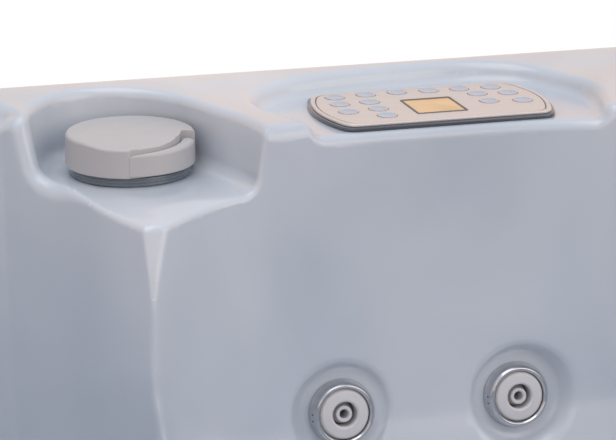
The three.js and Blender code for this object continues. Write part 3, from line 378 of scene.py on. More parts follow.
def make_bulk_cavity():
    plan_steps, section_steps = BULK_STEPS
    points, triangles = closed_skin(cavity_rings(full_plan(plan_steps), section_steps), np.zeros(2))
    reach = HALF + BULK_MARGIN
    low, high = (-reach, -reach, FOOTWELL_FLOOR - BULK_BELOW), (reach, reach, RIM_TOP + BULK_MARGIN)
    return distance_lattice(points, triangles, BULK_STEP, BULK_REACH, low, high)


def make_near_cavity():
    """The back wall alone, finer: its rings from the middle of the seat up, closed across the tub."""
    plan_steps, section_steps = NEAR_STEPS
    plan = full_plan(plan_steps)
    angle = plan[:, 6]
    side = plan[(angle >= math.pi / 4 - 1e-9) & (angle <= 3 * math.pi / 4 + 1e-9)]
    rings = cavity_rings(side, section_steps)
    first = next(i for i, ring in enumerate(rings) if ring[len(ring) // 2, 1] > NEAR_START)
    closed = []
    for ring in rings[first:]:
        z = ring[:, 2].min()
        closed.append(np.vstack([ring, [[ring[-1, 0], NEAR_MOUTH, z], [ring[0, 0], NEAR_MOUTH, z]]]))
    points, triangles = closed_skin(closed, np.array(NEAR_POLE))
    lattice = distance_lattice(points, triangles, NEAR_STEP, NEAR_REACH, NEAR_LOW, NEAR_HIGH)
    for _ in range(RIDGE_SMOOTHING):
        for axis in range(3):
            v = np.moveaxis(lattice.values, axis, 0)
            v[1:-1] = (v[:-2] + 2 * v[1:-1] + v[2:]) / 4
    return lattice


bulk_cavity = make_bulk_cavity()
near_cavity = make_near_cavity()


def cavity_field(p):
    """Distance to the tub's inside before its fittings, finer about the photographed wall."""
    field = bulk_cavity.at(p)
    inward = np.minimum(p - NEAR_LOW, NEAR_HIGH - p).min(1) - 3 * NEAR_STEP
    near = (inward > 0) & (np.abs(field) < NEAR_FADE[1])
    if near.any():
        weight = smooth_step(0, NEAR_BAND, inward[near])
        weight *= 1 - smooth_step(*NEAR_FADE, np.abs(field[near]))
        field[near] += weight * (near_cavity.at(p[near]) - field[near])
    return field


# Pocket and recess: outlines at the floor and at the rim, in mm from the tub's middle

POCKET_FLOOR = RIM_TOP - 60 * MM
POCKET_FILLET = 12 * MM
POCKET_LIPS = (5 * MM, 20 * MM)
LIP_CHANGE = (-0.295, -0.335)
RECESS_FLOOR = RIM_TOP - 18 * MM
RECESS_FILLET = 8 * MM
RECESS_LIP = 9 * MM
CREST_RADIUS = 8 * MM
APRON_WIDTH = 32 * MM
APRON_FALL = 0.2
APRON_CREASE = 5 * MM
APRON_RIGHT = (-0.155, -0.262)
APRON_LEFT = (-0.325, -0.275)
OUTLINE_STEP = 2 * MM
OUTLINE_MARGIN = 60 * MM
HOLLOW_SHARES = (-0.2, 1.3)
POCKET_AT_RIM = [
    (-138, 640), (-146, 777), (-152, 812), (-159, 835), (-170, 858), (-181, 885), (-192, 909), (-209, 927),
    (-227, 940), (-248, 947), (-268, 948), (-288, 944), (-306, 934), (-321, 918), (-331, 900), (-337, 880),
    (-341, 850), (-346, 800), (-350, 640),
]
POCKET_AT_FLOOR = [
    (-150, 640), (-157, 770), (-163, 806), (-169, 832), (-176, 857), (-183, 883), (-193.5, 908),
    (-210.5, 925), (-229, 936), (-250, 942), (-268, 941), (-286, 937), (-302, 927), (-314, 911),
    (-321, 893), (-325, 872), (-327, 840), (-329, 800), (-331, 640),
]
RECESS_AT_RIM = [
    (-96, 640), (-104, 786), (-116, 812), (-126, 836), (-131, 862), (-130, 888), (-118, 910), (-96, 928),
    (-66, 940), (-29, 948), (12, 953), (42, 955), (76, 956), (110, 951), (140, 939), (158, 922), (171, 900),
    (181, 877), (187, 850), (185, 826), (179, 802), (172, 780), (166, 640),
]
RECESS_AT_FLOOR = [
    (-91, 640), (-98, 786), (-110, 812), (-120, 838), (-125, 862), (-124, 885), (-113, 905), (-92, 922),
    (-64, 934), (-29, 942), (12, 947), (42, 949), (76, 950), (108, 945), (136, 934), (153, 918), (165, 897),
    (175, 875), (181, 850), (179, 827), (173, 803), (166, 780), (160, 640),
]


def mouth_outline(places):
    """Outline of a hollow that opens into the tub: its first and last places lie in the air there."""
    bend = smooth_curve(places[1:-1], 6)
    return np.vstack([places[:1], bend, places[-1:]]) * MM


def make_hollow(at_floor, at_rim, floor, top):
    """Signed distance to a hollow's sides, between its outline at the floor and that at the rim."""
    low, high = (
        outline_lattice(mouth_outline(places), OUTLINE_STEP, OUTLINE_MARGIN) for places in (at_floor, at_rim)
    )

    def side(p):
        share = np.clip((p[:, 2] - floor) / (top - floor), *HOLLOW_SHARES)
        at_low = low.at(p[:, :2])
        return at_low + (high.at(p[:, :2]) - at_low) * share

    return side


pocket_side = make_hollow(POCKET_AT_FLOOR, POCKET_AT_RIM, POCKET_FLOOR, RIM_TOP)
recess_side = make_hollow(RECESS_AT_FLOOR, RECESS_AT_RIM, RECESS_FLOOR, RIM_TOP)


def pocket_floor(p, cavity):
    """The pocket's floor, which falls away in front of the knob to the ridge."""
    width = APRON_WIDTH * smooth_step(*APRON_RIGHT, p[:, 0]) * smooth_step(*APRON_LEFT, p[:, 0])
    past = width - cavity
    return POCKET_FLOOR - APRON_FALL * np.where(width > 0, (past + np.hypot(past, APRON_CREASE)) / 2, 0)


def pocket_lip(p):
    """Rounding of the pocket's edge, wide at its left."""
    narrow, wide = POCKET_LIPS
    return narrow + (wide - narrow) * smooth_step(*LIP_CHANGE, p[:, 0])


JETS = [centre_of("jet_escutcheon_left"), centre_of("jet_escutcheon_right")]
JET_AXIS = np.array((0, -math.cos(math.atan(LEAN)), math.sin(math.atan(LEAN))))
JET_SEAT = -6.1 * MM
DISH_FLOOR = 40 * MM
DISH_SLOPE = 0.8
DISH_FILLET = 3.5 * MM
DISH_LIP = 3 * MM
DISH_REACH = 16 * MM
DISH_AWAY = 80 * MM
DISH_NEAR = 40 * MM
DISH_HEIGHTS = (0.55, 0.85)
SIDE_JET_REACH = 0.78
CORNER_JET_REACH = 1.12
CORNER_JETS = [(-0.085, 0.655), (0.085, 0.655), (0, 0.745)]


def dish_field(p, place, axis):
    """Shallow dish about a jet, its flat floor square to the jet."""
    d = p - np.array(place)
    along = d @ axis
    off = np.sqrt(np.maximum((d**2).sum(1) - along**2, 0))
    side = (off - DISH_FLOOR - DISH_SLOPE * (along - JET_SEAT)) / math.hypot(1, DISH_SLOPE)
    return np.maximum(common(side, JET_SEAT - along, DISH_FILLET), along - DISH_REACH)


def jet_on_wall(angle, radius, z):
    """Where the cavity's wall stands in that direction at that height, and the way out of it."""
    p = np.array([[radius * math.cos(angle), radius * math.sin(angle), z]])
    for _ in range(6):
        g = gradient(cavity_field, p)
        p -= cavity_field(p)[:, None] * g * (1, 1, 0) / max(float((g[0, :2] ** 2).sum()), LEAST_SLOPE)
    g = gradient(cavity_field, p)[0]
    return p[0], -g / np.linalg.norm(g)


def find_other_jets():
    """Jets of the seats that the photograph doesn't show: two in each side, three in each corner."""
    found = []
    side_angle = math.atan2(JETS[1].x, JETS[1].y)
    for quarter in range(4):
        middle = math.pi / 2 * (quarter + 1)
        if quarter:
            found += [jet_on_wall(middle + a, SIDE_JET_REACH, JETS[0].z) for a in (-side_angle, side_angle)]
        corner = middle + math.pi / 4
        found += [jet_on_wall(corner + a, CORNER_JET_REACH, z) for a, z in CORNER_JETS]
    return found


OTHER_JETS = find_other_jets()
FACET_FOOT = 762 * MM
FACET_SLOPE = 0.22
FACET_EDGE = 3 * MM
FACET_HALF = 40 * MM


def facet_field(p):
    """Air in front of the blunt facet that takes the top off the ridge beside the pocket."""
    nose = NOSE_REACH - (WALL_TOP - FACET_FOOT) * LEAN
    face = nose + (p[:, 2] - FACET_FOOT) * (FACET_SLOPE + LEAN)
    field = (p[:, 1] - face) / math.hypot(1, FACET_SLOPE + LEAN)
    away = np.abs(p[:, 0] + NOSE_OFFSET + NOSE_SPLAY * (WALL_TOP - p[:, 2])) - FACET_HALF
    return np.maximum(field, away)


RIM_EDGE = 32 * MM
RIM_CROWN = 3.5 * MM


def rim_field(p):
    """Air over the crowned rim and outside its rounded edge."""
    centre = HALF - RIM_CORNER
    q = np.maximum(np.abs(p[:, :2]) - centre, 0)
    inner = np.minimum(np.abs(p[:, :2]).max(1) - HALF, 0)
    outside = np.where(q.any(1), np.hypot(q[:, 0], q[:, 1]) - RIM_CORNER, inner)
    top = RIM_TOP - RIM_CROWN * smooth_step(RIM_EDGE, 3 * RIM_EDGE, -outside)
    return joined(top - p[:, 2], -outside, RIM_EDGE)


COLLAR_WIDTH = 22 * MM
COLLAR_DEPTH = 17 * MM
COLLAR_START = 350 * MM
COLLAR_FILLET = 6 * MM
COLLAR_END = 14 * MM
SEAT_EDGE = 14 * MM
CORNER_EDGE_ADDS = 12 * MM
EDGE_CHANGE = (0.30, 0.50)
SEEN_WALL = (0.55, 0.5)
CREST_FADE = 10 * MM


def with_collar(p, cavity):
    """The corner seats open by a step just below the rim."""
    step = common(cavity - COLLAR_WIDTH, RIM_TOP - COLLAR_DEPTH - p[:, 2], COLLAR_FILLET)
    corner = COLLAR_START - np.minimum(np.abs(p[:, 0]), np.abs(p[:, 1]))
    return joined(cavity, common(step, corner, COLLAR_END), COLLAR_FILLET)


def with_dishes(p, field):
    """The dishes about the jets that the photograph doesn't show."""
    low, high = DISH_HEIGHTS
    maybe = np.flatnonzero((p[:, 2] > low) & (p[:, 2] < high) & (np.abs(field) < DISH_NEAR))
    if len(maybe):
        for place, axis in OTHER_JETS:
            by = maybe[((p[maybe] - place) ** 2).sum(1) < DISH_AWAY**2]
            if len(by):
                field[by] = joined(field[by], dish_field(p[by], place, axis), DISH_LIP)
    return field


def air_field(p):
    """All the air above the moulding: the cavity, its hollows and what lies over the rim."""
    cavity = with_collar(p, cavity_field(p))
    x, y = np.abs(p[:, 0]), np.abs(p[:, 1])
    lip = SEAT_EDGE + CORNER_EDGE_ADDS * smooth_step(*EDGE_CHANGE, np.minimum(x, y))
    near = (p[:, 1] > SEEN_WALL[0]) & (x < SEEN_WALL[1]) & (p[:, 2] > SEEN_WALL[1])
    field = with_dishes(p, cavity.copy())
    if near.any():
        q = p[near]
        beside_pocket, beside_recess = pocket_side(q), recess_side(q)
        pocket = common(beside_pocket, pocket_floor(q, cavity[near]) - q[:, 2], POCKET_FILLET)
        recess = common(beside_recess, RECESS_FLOOR - q[:, 2], RECESS_FILLET)
        local = joined(cavity[near], facet_field(q), FACET_EDGE)
        for jet in JETS:
            local = joined(local, dish_field(q, jet, JET_AXIS), DISH_LIP)
        local = joined(local, pocket, pocket_lip(q))
        local = joined(local, recess, RECESS_LIP)
        past_edge = cavity[near] - np.minimum(beside_pocket, beside_recess)
        lip[near] += smooth_step(-CREST_FADE, CREST_FADE, past_edge) * (CREST_RADIUS - lip[near])
        field[near] = local
    return joined(field, rim_field(p), lip)


# The moulding's mesh: a coarse surface from the fields, drawn onto them and refined where it bends

LATTICE_MARGIN = 30 * MM
LATTICE_REACH = HALF + LATTICE_MARGIN
LATTICE_LOW = np.array((-LATTICE_REACH, -LATTICE_REACH, FOOTWELL_FLOOR - LATTICE_MARGIN))
LATTICE_HIGH = np.array((LATTICE_REACH, LATTICE_REACH, RIM_TOP + LATTICE_MARGIN))
ON_SURFACE = 0.75
SKIRT_BAND = 18 * MM
SKIRT_ABOVE = 60 * MM
VIEW_LOW = np.array((-0.42, 0.66, 0.52))
VIEW_HIGH = np.array((0.34, HALF + 10 * MM, 0.93))


def drawn_on(field, p, rounds=2, level=0.0, limit=6 * MM):
    """Points moved onto the surface where the field has that level."""
    p = p.copy()
    for _ in range(rounds):
        g = gradient(field, p)
        step = (field(p) - level) / np.maximum((g**2).sum(1), LEAST_SLOPE)
        p -= np.clip(step, -limit, limit)[:, None] * g
    return p


def polygons_of(field, low, high, step, margin, away, level=0.0):
    """Points and triangles of the surface where a field has that level, from a lattice of its values."""
    start = np.floor(np.array(low) / step).astype(int) - margin
    shape = np.ceil(np.array(high) / step).astype(int) - start + 1 + margin
    axes = [(start[k] + np.arange(shape[k])) * step for k in range(3)]
    values = field(np.stack(np.meshgrid(*axes, indexing="ij"), -1).reshape(-1, 3)).reshape(shape)
    grid = vdb.FloatGrid(away)
    grid.transform = vdb.createLinearTransform(voxelSize=step)
    grid.copyFromArray(np.ascontiguousarray(values, np.float32), ijk=tuple(int(v) for v in start))
    points, triangles, quads = grid.convertToPolygons(isovalue=level, adaptivity=0.0)
    every = np.vstack([triangles.reshape(-1, 3), quads[:, [0, 1, 2]], quads[:, [0, 2, 3]]])
    return points.astype(float), every.astype(np.int64)


def surface_at(step, level):
    """Points and triangles of the surface at that depth into the acrylic."""
    points, triangles = polygons_of(air_field, LATTICE_LOW, LATTICE_HIGH, step, 0, float(BULK_REACH), level)
    on_surface = np.abs(air_field(points) - level) < ON_SURFACE * step
    return points, triangles[on_surface[triangles].all(1)]


def outside_skirt(points):
    """Whether points lie at the rim's outer edge or past it, seen from above."""
    return rim_field(points * (1, 1, 0) + (0, 0, RIM_TOP / 2)) < SKIRT_BAND


def without_loose(points, triangles):
    used = np.unique(triangles)
    place = np.full(len(points), -1)
    place[used] = np.arange(len(used))
    return points[used], place[triangles]


def cut_at_skirt(points, triangles):
    """The surface without what hangs below the skirt's foot, and what closes it at the lattice's edge."""
    mesh = bpy.data.meshes.new("cut")
    mesh.from_pydata(points.tolist(), [], triangles.tolist())
    bm = bmesh.new()
    bm.from_mesh(mesh)
    co = np.array([v.co for v in bm.verts])
    beyond = outside_skirt(co)
    bm.verts.ensure_lookup_table()
    low = [v for v, far in zip(bm.verts, beyond) if far and v.co.z < SKIRT_FOOT + SKIRT_ABOVE]
    faces = {f for v in low for f in v.link_faces}
    edges = {e for f in faces for e in f.edges}
    verts = {v for f in faces for v in f.verts}
    bmesh.ops.bisect_plane(
        bm, geom=list(verts) + list(edges) + list(faces), dist=1e-5,
        plane_co=(0, 0, SKIRT_FOOT), plane_no=(0, 0, 1), clear_inner=True,
    )
    bmesh.ops.triangulate(bm, faces=bm.faces[:])
    bm.verts.index_update()
    points = np.array([v.co for v in bm.verts])
    triangles = np.array([[v.index for v in f.verts] for f in bm.faces])
    bm.free()
    bpy.data.meshes.remove(mesh)
    return points, triangles


def edges_of(triangles):
    """Unique edges, the three edge numbers of each triangle, and how many triangles each edge has."""
    pairs = np.sort(triangles[:, [[0, 1], [1, 2], [2, 0]]], 2).reshape(-1, 2)
    key = pairs[:, 0] * (triangles.max() + 1) + pairs[:, 1]
    found = np.unique(key, return_index=True, return_inverse=True, return_counts=True)
    return pairs[found[1]], found[2].reshape(-1, 3), found[3]


def split_marked(points, triangles, edges, number, marked):
    """Marked edges are halved, and each triangle is divided to match, so no crack opens."""
    middle = np.full(len(edges), -1)
    middle[marked] = len(points) + np.arange(marked.sum())
    points = np.vstack([points, points[edges[marked]].mean(1)])
    m = middle[number]
    has = m >= 0
    count = has.sum(1)
    out = [triangles[count == 0]]
    for turn in range(3):
        a, b, c = [(turn + k) % 3 for k in range(3)]
        one = (count == 1) & has[:, a]
        t, q = triangles[one], m[one]
        out += [np.stack([t[:, a], q[:, a], t[:, c]], 1), np.stack([q[:, a], t[:, b], t[:, c]], 1)]
        two = (count == 2) & ~has[:, c]
        t, q = triangles[two], m[two]
        out += [
            np.stack([t[:, a], q[:, a], t[:, c]], 1), np.stack([q[:, a], q[:, b], t[:, c]], 1),
            np.stack([q[:, a], t[:, b], q[:, b]], 1),
        ]
    full = count == 3
    t, q = triangles[full], m[full]
    out += [
        np.stack([t[:, 0], q[:, 0], q[:, 2]], 1), np.stack([t[:, 1], q[:, 1], q[:, 0]], 1),
        np.stack([t[:, 2], q[:, 2], q[:, 1]], 1), q,
    ]
    return points, np.vstack(out)


def relaxed(field, points, triangles, rounds):
    """Points evened out along the surface, those on an open edge held."""
    edges, _, count = edges_of(triangles)
    held = np.zeros(len(points), bool)
    held[edges[count == 1].ravel()] = True
    for _ in range(rounds):
        total = np.zeros_like(points)
        share = np.zeros(len(points))
        for a, b in (edges.T, edges.T[::-1]):
            np.add.at(total, a, points[b])
            np.add.at(share, a, 1)
        move = 0.5 * (total / share[:, None] - points)
        move[held] = 0
        points = drawn_on(field, points + move, 1)
    return points


def in_view(p):
    """How far inside the stretch that the photograph shows a point lies."""
    return np.minimum(p - VIEW_LOW, VIEW_HIGH - p).min(1)


def refined(field, points, triangles, levels):
    """Edges halved where their middle lies off the surface, the new points drawn onto it."""
    for level in levels:
        edges, number, _ = edges_of(triangles)
        a, b = points[edges[:, 0]], points[edges[:, 1]]
        length = np.linalg.norm(a - b, axis=1)
        middle = (a + b) / 2
        away = np.abs(field(middle))
        seen = in_view(middle) > 0
        marked = (away > np.where(seen, level["seen"], level["unseen"])) & (length > level["least"])
        marked |= seen & (length > level["longest"])
        points, triangles = split_marked(points, triangles, edges, number, marked)
        points = drawn_on(field, points, 1)
    return points, triangles


def cylinder_cut(bm, place, axis, radius, start, end, sides=96):
    turn = Vector(axis).to_track_quat("Z", "Y").to_matrix().to_4x4()
    shift = Matrix.Translation(Vector(place) + Vector(axis) * (start + end) / 2)
    bmesh.ops.create_cone(
        bm, cap_ends=True, segments=sides, radius1=radius, radius2=radius, depth=end - start,
        matrix=shift @ turn,
    )


WELL = centre_of("filter_lid")
NECK_HOLE = 36.3 * MM
JET_HOLE = 24.3 * MM
WELL_HOLE = 56.3 * MM
FOOTWELL_HOLE = 24.3 * MM
WEIR_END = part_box("filter_weir")[1].x
THROAT_PAST = 20 * MM
THROAT_HALF = 42.3 * MM
THROAT_DROP = 94 * MM
THROAT_HEIGHT = 96.6 * MM
BOSS = (150 * MM, 60 * MM, 30 * MM)
BOSS_HOLE = (150.6 * MM, 60.6 * MM, 40 * MM)


def box_cut(bm, centre, size):
    bmesh.ops.create_cube(bm, size=1, matrix=Matrix.Translation(centre) @ Matrix.Diagonal((*size, 1)))


def make_holes():
    """One mesh that takes the holes for the fittings out of the moulding."""
    bm = bmesh.new()
    cylinder_cut(bm, KNOB, (0, 0, 1), NECK_HOLE, -60 * MM, 2 * MM)
    for jet in JETS:
        cylinder_cut(bm, jet, JET_AXIS, JET_HOLE, -30 * MM, 20 * MM)
    cylinder_cut(bm, (WELL.x, WELL.y, RIM_TOP), (0, 0, 1), WELL_HOLE, -30 * MM, 20 * MM)
    centre = ((WELL.x + WEIR_END) / 2 + THROAT_PAST / 2, 0, RIM_TOP - THROAT_DROP)
    box_cut(bm, centre, (WEIR_END - WELL.x + THROAT_PAST, 2 * THROAT_HALF, THROAT_HEIGHT))
    box_cut(bm, (PANEL.x, PANEL.y, RECESS_FLOOR), BOSS_HOLE)
    for side in (-1, 1):
        way = (0, side * math.cos(FOOTWELL_LEAN), -math.sin(FOOTWELL_LEAN))
        cylinder_cut(bm, (0, side * FITTING_Y, FITTING_HEIGHT), way, FOOTWELL_HOLE, -10 * MM, 30 * MM)
    mesh = bpy.data.meshes.new("holes")
    bm.to_mesh(mesh)
    bm.free()
    return new_object("holes", mesh)


REFINING = [
    {"seen": 0.25 * MM, "unseen": 0.9 * MM, "least": 6 * MM, "longest": 9 * MM},
    {"seen": 0.10 * MM, "unseen": 0.9 * MM, "least": 4.5 * MM, "longest": 9 * MM},
    {"seen": 0.08 * MM, "unseen": 0.9 * MM, "least": 2.8 * MM, "longest": 9 * MM},
]

SHEET_STEP = 15 * MM
BACK_STEP = 18 * MM
BACK_SHARE = 0.35
NORMAL_AGREES = 0.86
NEAR_FRONT = 0.3 * MM
NEAR_BACK = 0.5 * MM


def open_loop(points, triangles):
    """Numbers of the points on the open edge, in turn about the tub's middle."""
    edges, _, count = edges_of(triangles)
    rim = np.unique(edges[count == 1])
    return rim[np.argsort(np.arctan2(points[rim, 1], points[rim, 0]))]


def bridge(points, outer, inner):
    """Triangles between two loops about the same middle, each in turn by angle."""
    turn_outer, turn_inner = (np.arctan2(points[loop, 1], points[loop, 0]) for loop in (outer, inner))
    out = []
    i = j = 0
    while i < len(outer) or j < len(inner):
        next_outer = turn_outer[i + 1] if i + 1 < len(outer) else turn_outer[0] + 2 * math.pi
        next_inner = turn_inner[j + 1] if j + 1 < len(inner) else turn_inner[0] + 2 * math.pi
        a, b = outer[i % len(outer)], inner[j % len(inner)]
        if j >= len(inner) or (i < len(outer) and next_outer <= next_inner):
            i += 1
            out.append((a, outer[i % len(outer)], b))
        else:
            j += 1
            out.append((a, inner[j % len(inner)], b))
    return np.array(out)


def mesh_of(name, points, triangles):
    mesh = bpy.data.meshes.new(name)
    mesh.from_pydata(points.tolist(), [], triangles.tolist())
    mesh.update()
    return mesh


def outward(mesh):
    """Face normals of a closed mesh turned outward."""
    bm = bmesh.new()
    bm.from_mesh(mesh)
    bmesh.ops.recalc_face_normals(bm, faces=bm.faces[:])
    if bm.calc_volume(signed=True) < 0:
        bmesh.ops.reverse_faces(bm, faces=bm.faces[:])
    bm.to_mesh(mesh)
    bm.free()
    return mesh


def applied(piece):
    """A new mesh of the piece with its modifiers applied."""
    depsgraph = bpy.context.evaluated_depsgraph_get()
    return bpy.data.meshes.new_from_object(piece.evaluated_get(depsgraph), depsgraph=depsgraph)


def remove(piece):
    mesh = piece.data
    bpy.data.objects.remove(piece)
    bpy.data.meshes.remove(mesh)


def cut_with(piece, cutter, operation="DIFFERENCE"):
    """The piece's mesh after a Boolean with another object, which is then removed."""
    modifier = piece.modifiers.new("cut", "BOOLEAN")
    modifier.operation = operation
    modifier.solver = "MANIFOLD"
    modifier.object = cutter
    mesh = applied(piece)
    piece.modifiers.clear()
    old = piece.data
    piece.data = mesh
    bpy.data.meshes.remove(old)
    remove(cutter)
    return piece


def shade_by_field(mesh, field, levels):
    """Corner normals from the field's gradient where a face lies along the surface, else the face's own."""
    count = len(mesh.vertices)
    points = np.empty(count * 3)
    mesh.vertices.foreach_get("co", points)
    points = points.reshape(-1, 3).astype(float)
    normals = gradient(field, points)
    normals /= np.maximum(np.linalg.norm(normals, axis=1), 1e-9)[:, None]
    value = field(points)
    corner = np.empty(len(mesh.loops), np.int64)
    mesh.loops.foreach_get("vertex_index", corner)
    total = np.empty(len(mesh.polygons), np.int64)
    mesh.polygons.foreach_get("loop_total", total)
    face = np.empty(len(mesh.polygons) * 3)
    mesh.polygons.foreach_get("normal", face)
    face = np.repeat(face.reshape(-1, 3), total, axis=0)
    out = face.copy()
    for level, sign, near in levels:
        along = sign * normals[corner]
        fits = (np.abs(value[corner] - level) < near) & ((along * face).sum(1) > NORMAL_AGREES)
        out[fits] = along[fits]
    mesh.polygons.foreach_set("use_smooth", np.ones(len(mesh.polygons), bool))
    mesh.normals_split_custom_set(out.tolist())


def thinned(points, triangles, share):
    """Fewer triangles where the surface is nearly flat."""
    piece = new_object("thinned", mesh_of("thinned", points, triangles))
    modifier = piece.modifiers.new("thin", "DECIMATE")
    modifier.ratio = share
    modifier.use_collapse_triangulate = True
    mesh = applied(piece)
    points = np.array([v.co for v in mesh.vertices], float)
    triangles = np.array([face.vertices[:] for face in mesh.polygons], np.int64)
    remove(piece)
    bpy.data.meshes.remove(mesh)
    return points, triangles


def make_shell():
    """The moulding: its fine front, its coarser back and the strip between them at the skirt's foot."""
    points, triangles = without_loose(*cut_at_skirt(*surface_at(SHEET_STEP, 0.0)))
    points = relaxed(air_field, drawn_on(air_field, points), triangles, 2)
    points, triangles = refined(air_field, points, triangles, REFINING)
    back, back_triangles = without_loose(*cut_at_skirt(*surface_at(BACK_STEP, float(SKIN))))
    back = drawn_on(air_field, back, 2, float(SKIN))
    back, back_triangles = thinned(back, back_triangles, BACK_SHARE)
    both = np.vstack([points, back])
    outer = open_loop(points, triangles)
    inner = open_loop(back, back_triangles) + len(points)
    every = np.vstack([triangles, back_triangles[:, ::-1] + len(points), bridge(both, outer, inner)])
    piece = new_object("shell_moulding", outward(mesh_of("shell_moulding", both, every)))
    cut_with(piece, make_holes())
    shade_by_field(piece.data, air_field, [(0.0, -1, NEAR_FRONT), (float(SKIN), 1, NEAR_BACK)])
    return piece


shell = make_shell()
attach(shell, "tub")
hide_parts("shell")


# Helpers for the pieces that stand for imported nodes

def ride_as(piece, body, nodes):
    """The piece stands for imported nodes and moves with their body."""
    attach(piece, body)
    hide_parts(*nodes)
    return piece


def softened(piece, degrees=38):
    """Smooth shading, except across edges sharper than that angle."""
    piece.data.shade_smooth()
    piece.data.set_sharp_from_angle(angle=math.radians(degrees))
    return piece


def filleted(corners, steps=5):
    """Polyline through (x, y, fillet) corners, in mm, each fillet drawn as an arc."""
    out = []
    for i, (x, y, fillet) in enumerate(corners):
        here = np.array((x, y), float)
        if fillet == 0 or i in (0, len(corners) - 1):
            out.append(here)
            continue
        before = np.array(corners[i - 1][:2]) - here
        after = np.array(corners[i + 1][:2]) - here
        a, b = before / np.linalg.norm(before), after / np.linalg.norm(after)
        opening = math.acos(np.clip(a @ b, -1, 1))
        if opening > math.pi - 0.02:
            out.append(here)
            continue
        room = 0.49 * min(np.linalg.norm(before), np.linalg.norm(after))
        reach = min(fillet / math.tan(opening / 2), room)
        radius = reach * math.tan(opening / 2)
        middle = (a + b) / np.linalg.norm(a + b)
        centre = here + middle * radius / math.sin(opening / 2)
        u, v = (here + a * reach - centre) / radius, (here + b * reach - centre) / radius
        sweep = math.acos(np.clip(u @ v, -1, 1))
        for share in np.linspace(0, 1, steps + 1):
            turned_by = (math.sin((1 - share) * sweep) * u + math.sin(share * sweep) * v) / math.sin(sweep)
            out.append(centre + radius * turned_by)
    return np.array(out) * MM


def frame_about(axis):
    """Two directions square to an axis."""
    w = np.array(axis, float) / np.linalg.norm(axis)
    u = np.cross((0, 0, 1) if abs(w[2]) < 0.9 else (1, 0, 0), w)
    u /= np.linalg.norm(u)
    return u, np.cross(w, u), w


def turned(profile, place, axis=(0, 0, 1), sides=96, loop=False):
    """Points and faces of a profile of (radius, height) turned about an axis."""
    u, v, w = frame_about(axis)
    turn = np.arange(sides) * 2 * math.pi / sides
    ring = np.outer(np.cos(turn), u) + np.outer(np.sin(turn), v)
    points, rows = [], []
    for r, h in profile:
        if r < 1e-7:
            rows.append(np.full(sides, len(points)))
            points.append(np.array(place) + w * h)
        else:
            rows.append(len(points) + np.arange(sides))
            points.extend(np.array(place) + w * h + r * ring)
    faces = []
    for a, b in zip(rows, rows[1:] + rows[:1] if loop else rows[1:]):
        for j in range(sides):
            k = (j + 1) % sides
            corners = list(dict.fromkeys((a[j], a[k], b[k], b[j])))
            if len(corners) > 2:
                faces.append([int(c) for c in corners])
    return np.array(points), faces


def stacked(loops):
    """Points and faces of loops of equal count, one over another, closed at both ends."""
    count = len(loops[0])
    faces = [list(range(count))[::-1]]
    for i in range(len(loops) - 1):
        for j in range(count):
            k = (j + 1) % count
            faces.append([i * count + j, i * count + k, (i + 1) * count + k, (i + 1) * count + j])
    faces.append([(len(loops) - 1) * count + j for j in range(count)])
    return np.vstack(loops), faces


def at_height(outline, z):
    return np.column_stack([outline, np.full(len(outline), z)])


def piece_of(name, *parts):
    """One object from several lists of points and faces."""
    points, faces = [], []
    for some, some_faces in parts:
        shift = sum(len(p) for p in points)
        points.append(np.asarray(some, float))
        faces.extend([[c + shift for c in face] for face in some_faces])
    mesh = bpy.data.meshes.new(name)
    mesh.from_pydata(np.vstack(points).tolist(), [], faces)
    mesh.update()
    return new_object(name, outward(mesh))


def cutter_of(*parts):
    return piece_of("cutter", *parts)


def bore(place, radius, low, high, axis=(0, 0, 1)):
    """A round cutter about an axis, from low to high along it, in mm but for its place."""
    profile = [(0, low * MM), (radius * MM, low * MM), (radius * MM, high * MM), (0, high * MM)]
    return turned(profile, place, axis, 64)


BOX_CORNERS = [(a, b, c) for c in (-1, 1) for a, b in ((-1, -1), (1, -1), (1, 1), (-1, 1))]
BOX_FACES = [[3, 2, 1, 0], [4, 5, 6, 7], [0, 1, 5, 4], [1, 2, 6, 5], [2, 3, 7, 6], [3, 0, 4, 7]]


def bar_about(place, axis, out, half_sizes):
    """A box about a point, of half sizes out, across and along the axis, in mm."""
    ways = (out, np.cross(axis, out), axis)
    half = [way * size * MM for way, size in zip(ways, half_sizes)]
    return [place + a * half[0] + b * half[1] + c * half[2] for a, b, c in BOX_CORNERS], BOX_FACES


def quarter_turned(points, turns):
    """Points turned that many quarters anticlockwise about the tub's middle."""
    c, s = [(1, 0), (0, 1), (-1, 0), (0, -1)][turns]
    return points @ np.array([[c, s, 0], [-s, c, 0], [0, 0, 1]], float)


def from_field(name, field, low, high, step):
    """Closed mesh of the space where a field is negative, with the field's own normals."""
    points, triangles = polygons_of(field, low, high, step, 3, 1.0)
    points = drawn_on(field, points, 3, 0.0, step)
    piece = new_object(name, outward(mesh_of(name, points, triangles)))
    shade_by_field(piece.data, field, [(0.0, 1, step)])
    return piece


# Diverter knob, its grip and its ring

KNOB_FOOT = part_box("diverter_knob")[0].z
KNOB_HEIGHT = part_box("diverter_knob")[1].z - KNOB_FOOT
KNOB_RADIUS = 58 * MM
KNOB_DRAFT = 0.7 * MM
KNOB_CROWN = 1.2 * MM
KNOB_EDGE = 3 * MM
SCOOP_REACH = 60 * MM
SCOOP_CENTRE = 52 * MM
SCOOP_DEPTH = 4 * MM
GRIP_START = math.radians(-104)
GRIP_END = math.radians(-14)
NOTCH_CENTRE = (-10.8 * MM, 0.9 * MM)
NOTCH_RADIUS = 55.8 * MM
GRIP_OUTER = 58.2 * MM
GRIP_FOOT = 1.5 * MM
GRIP_TOP = KNOB_HEIGHT - 7.6 * MM
GRIP_SLOPE = 0.12
GRIP_FALL = -0.025
GRIP_GAP = 0.25 * MM
GRIP_END_GAP = 1.7 * MM


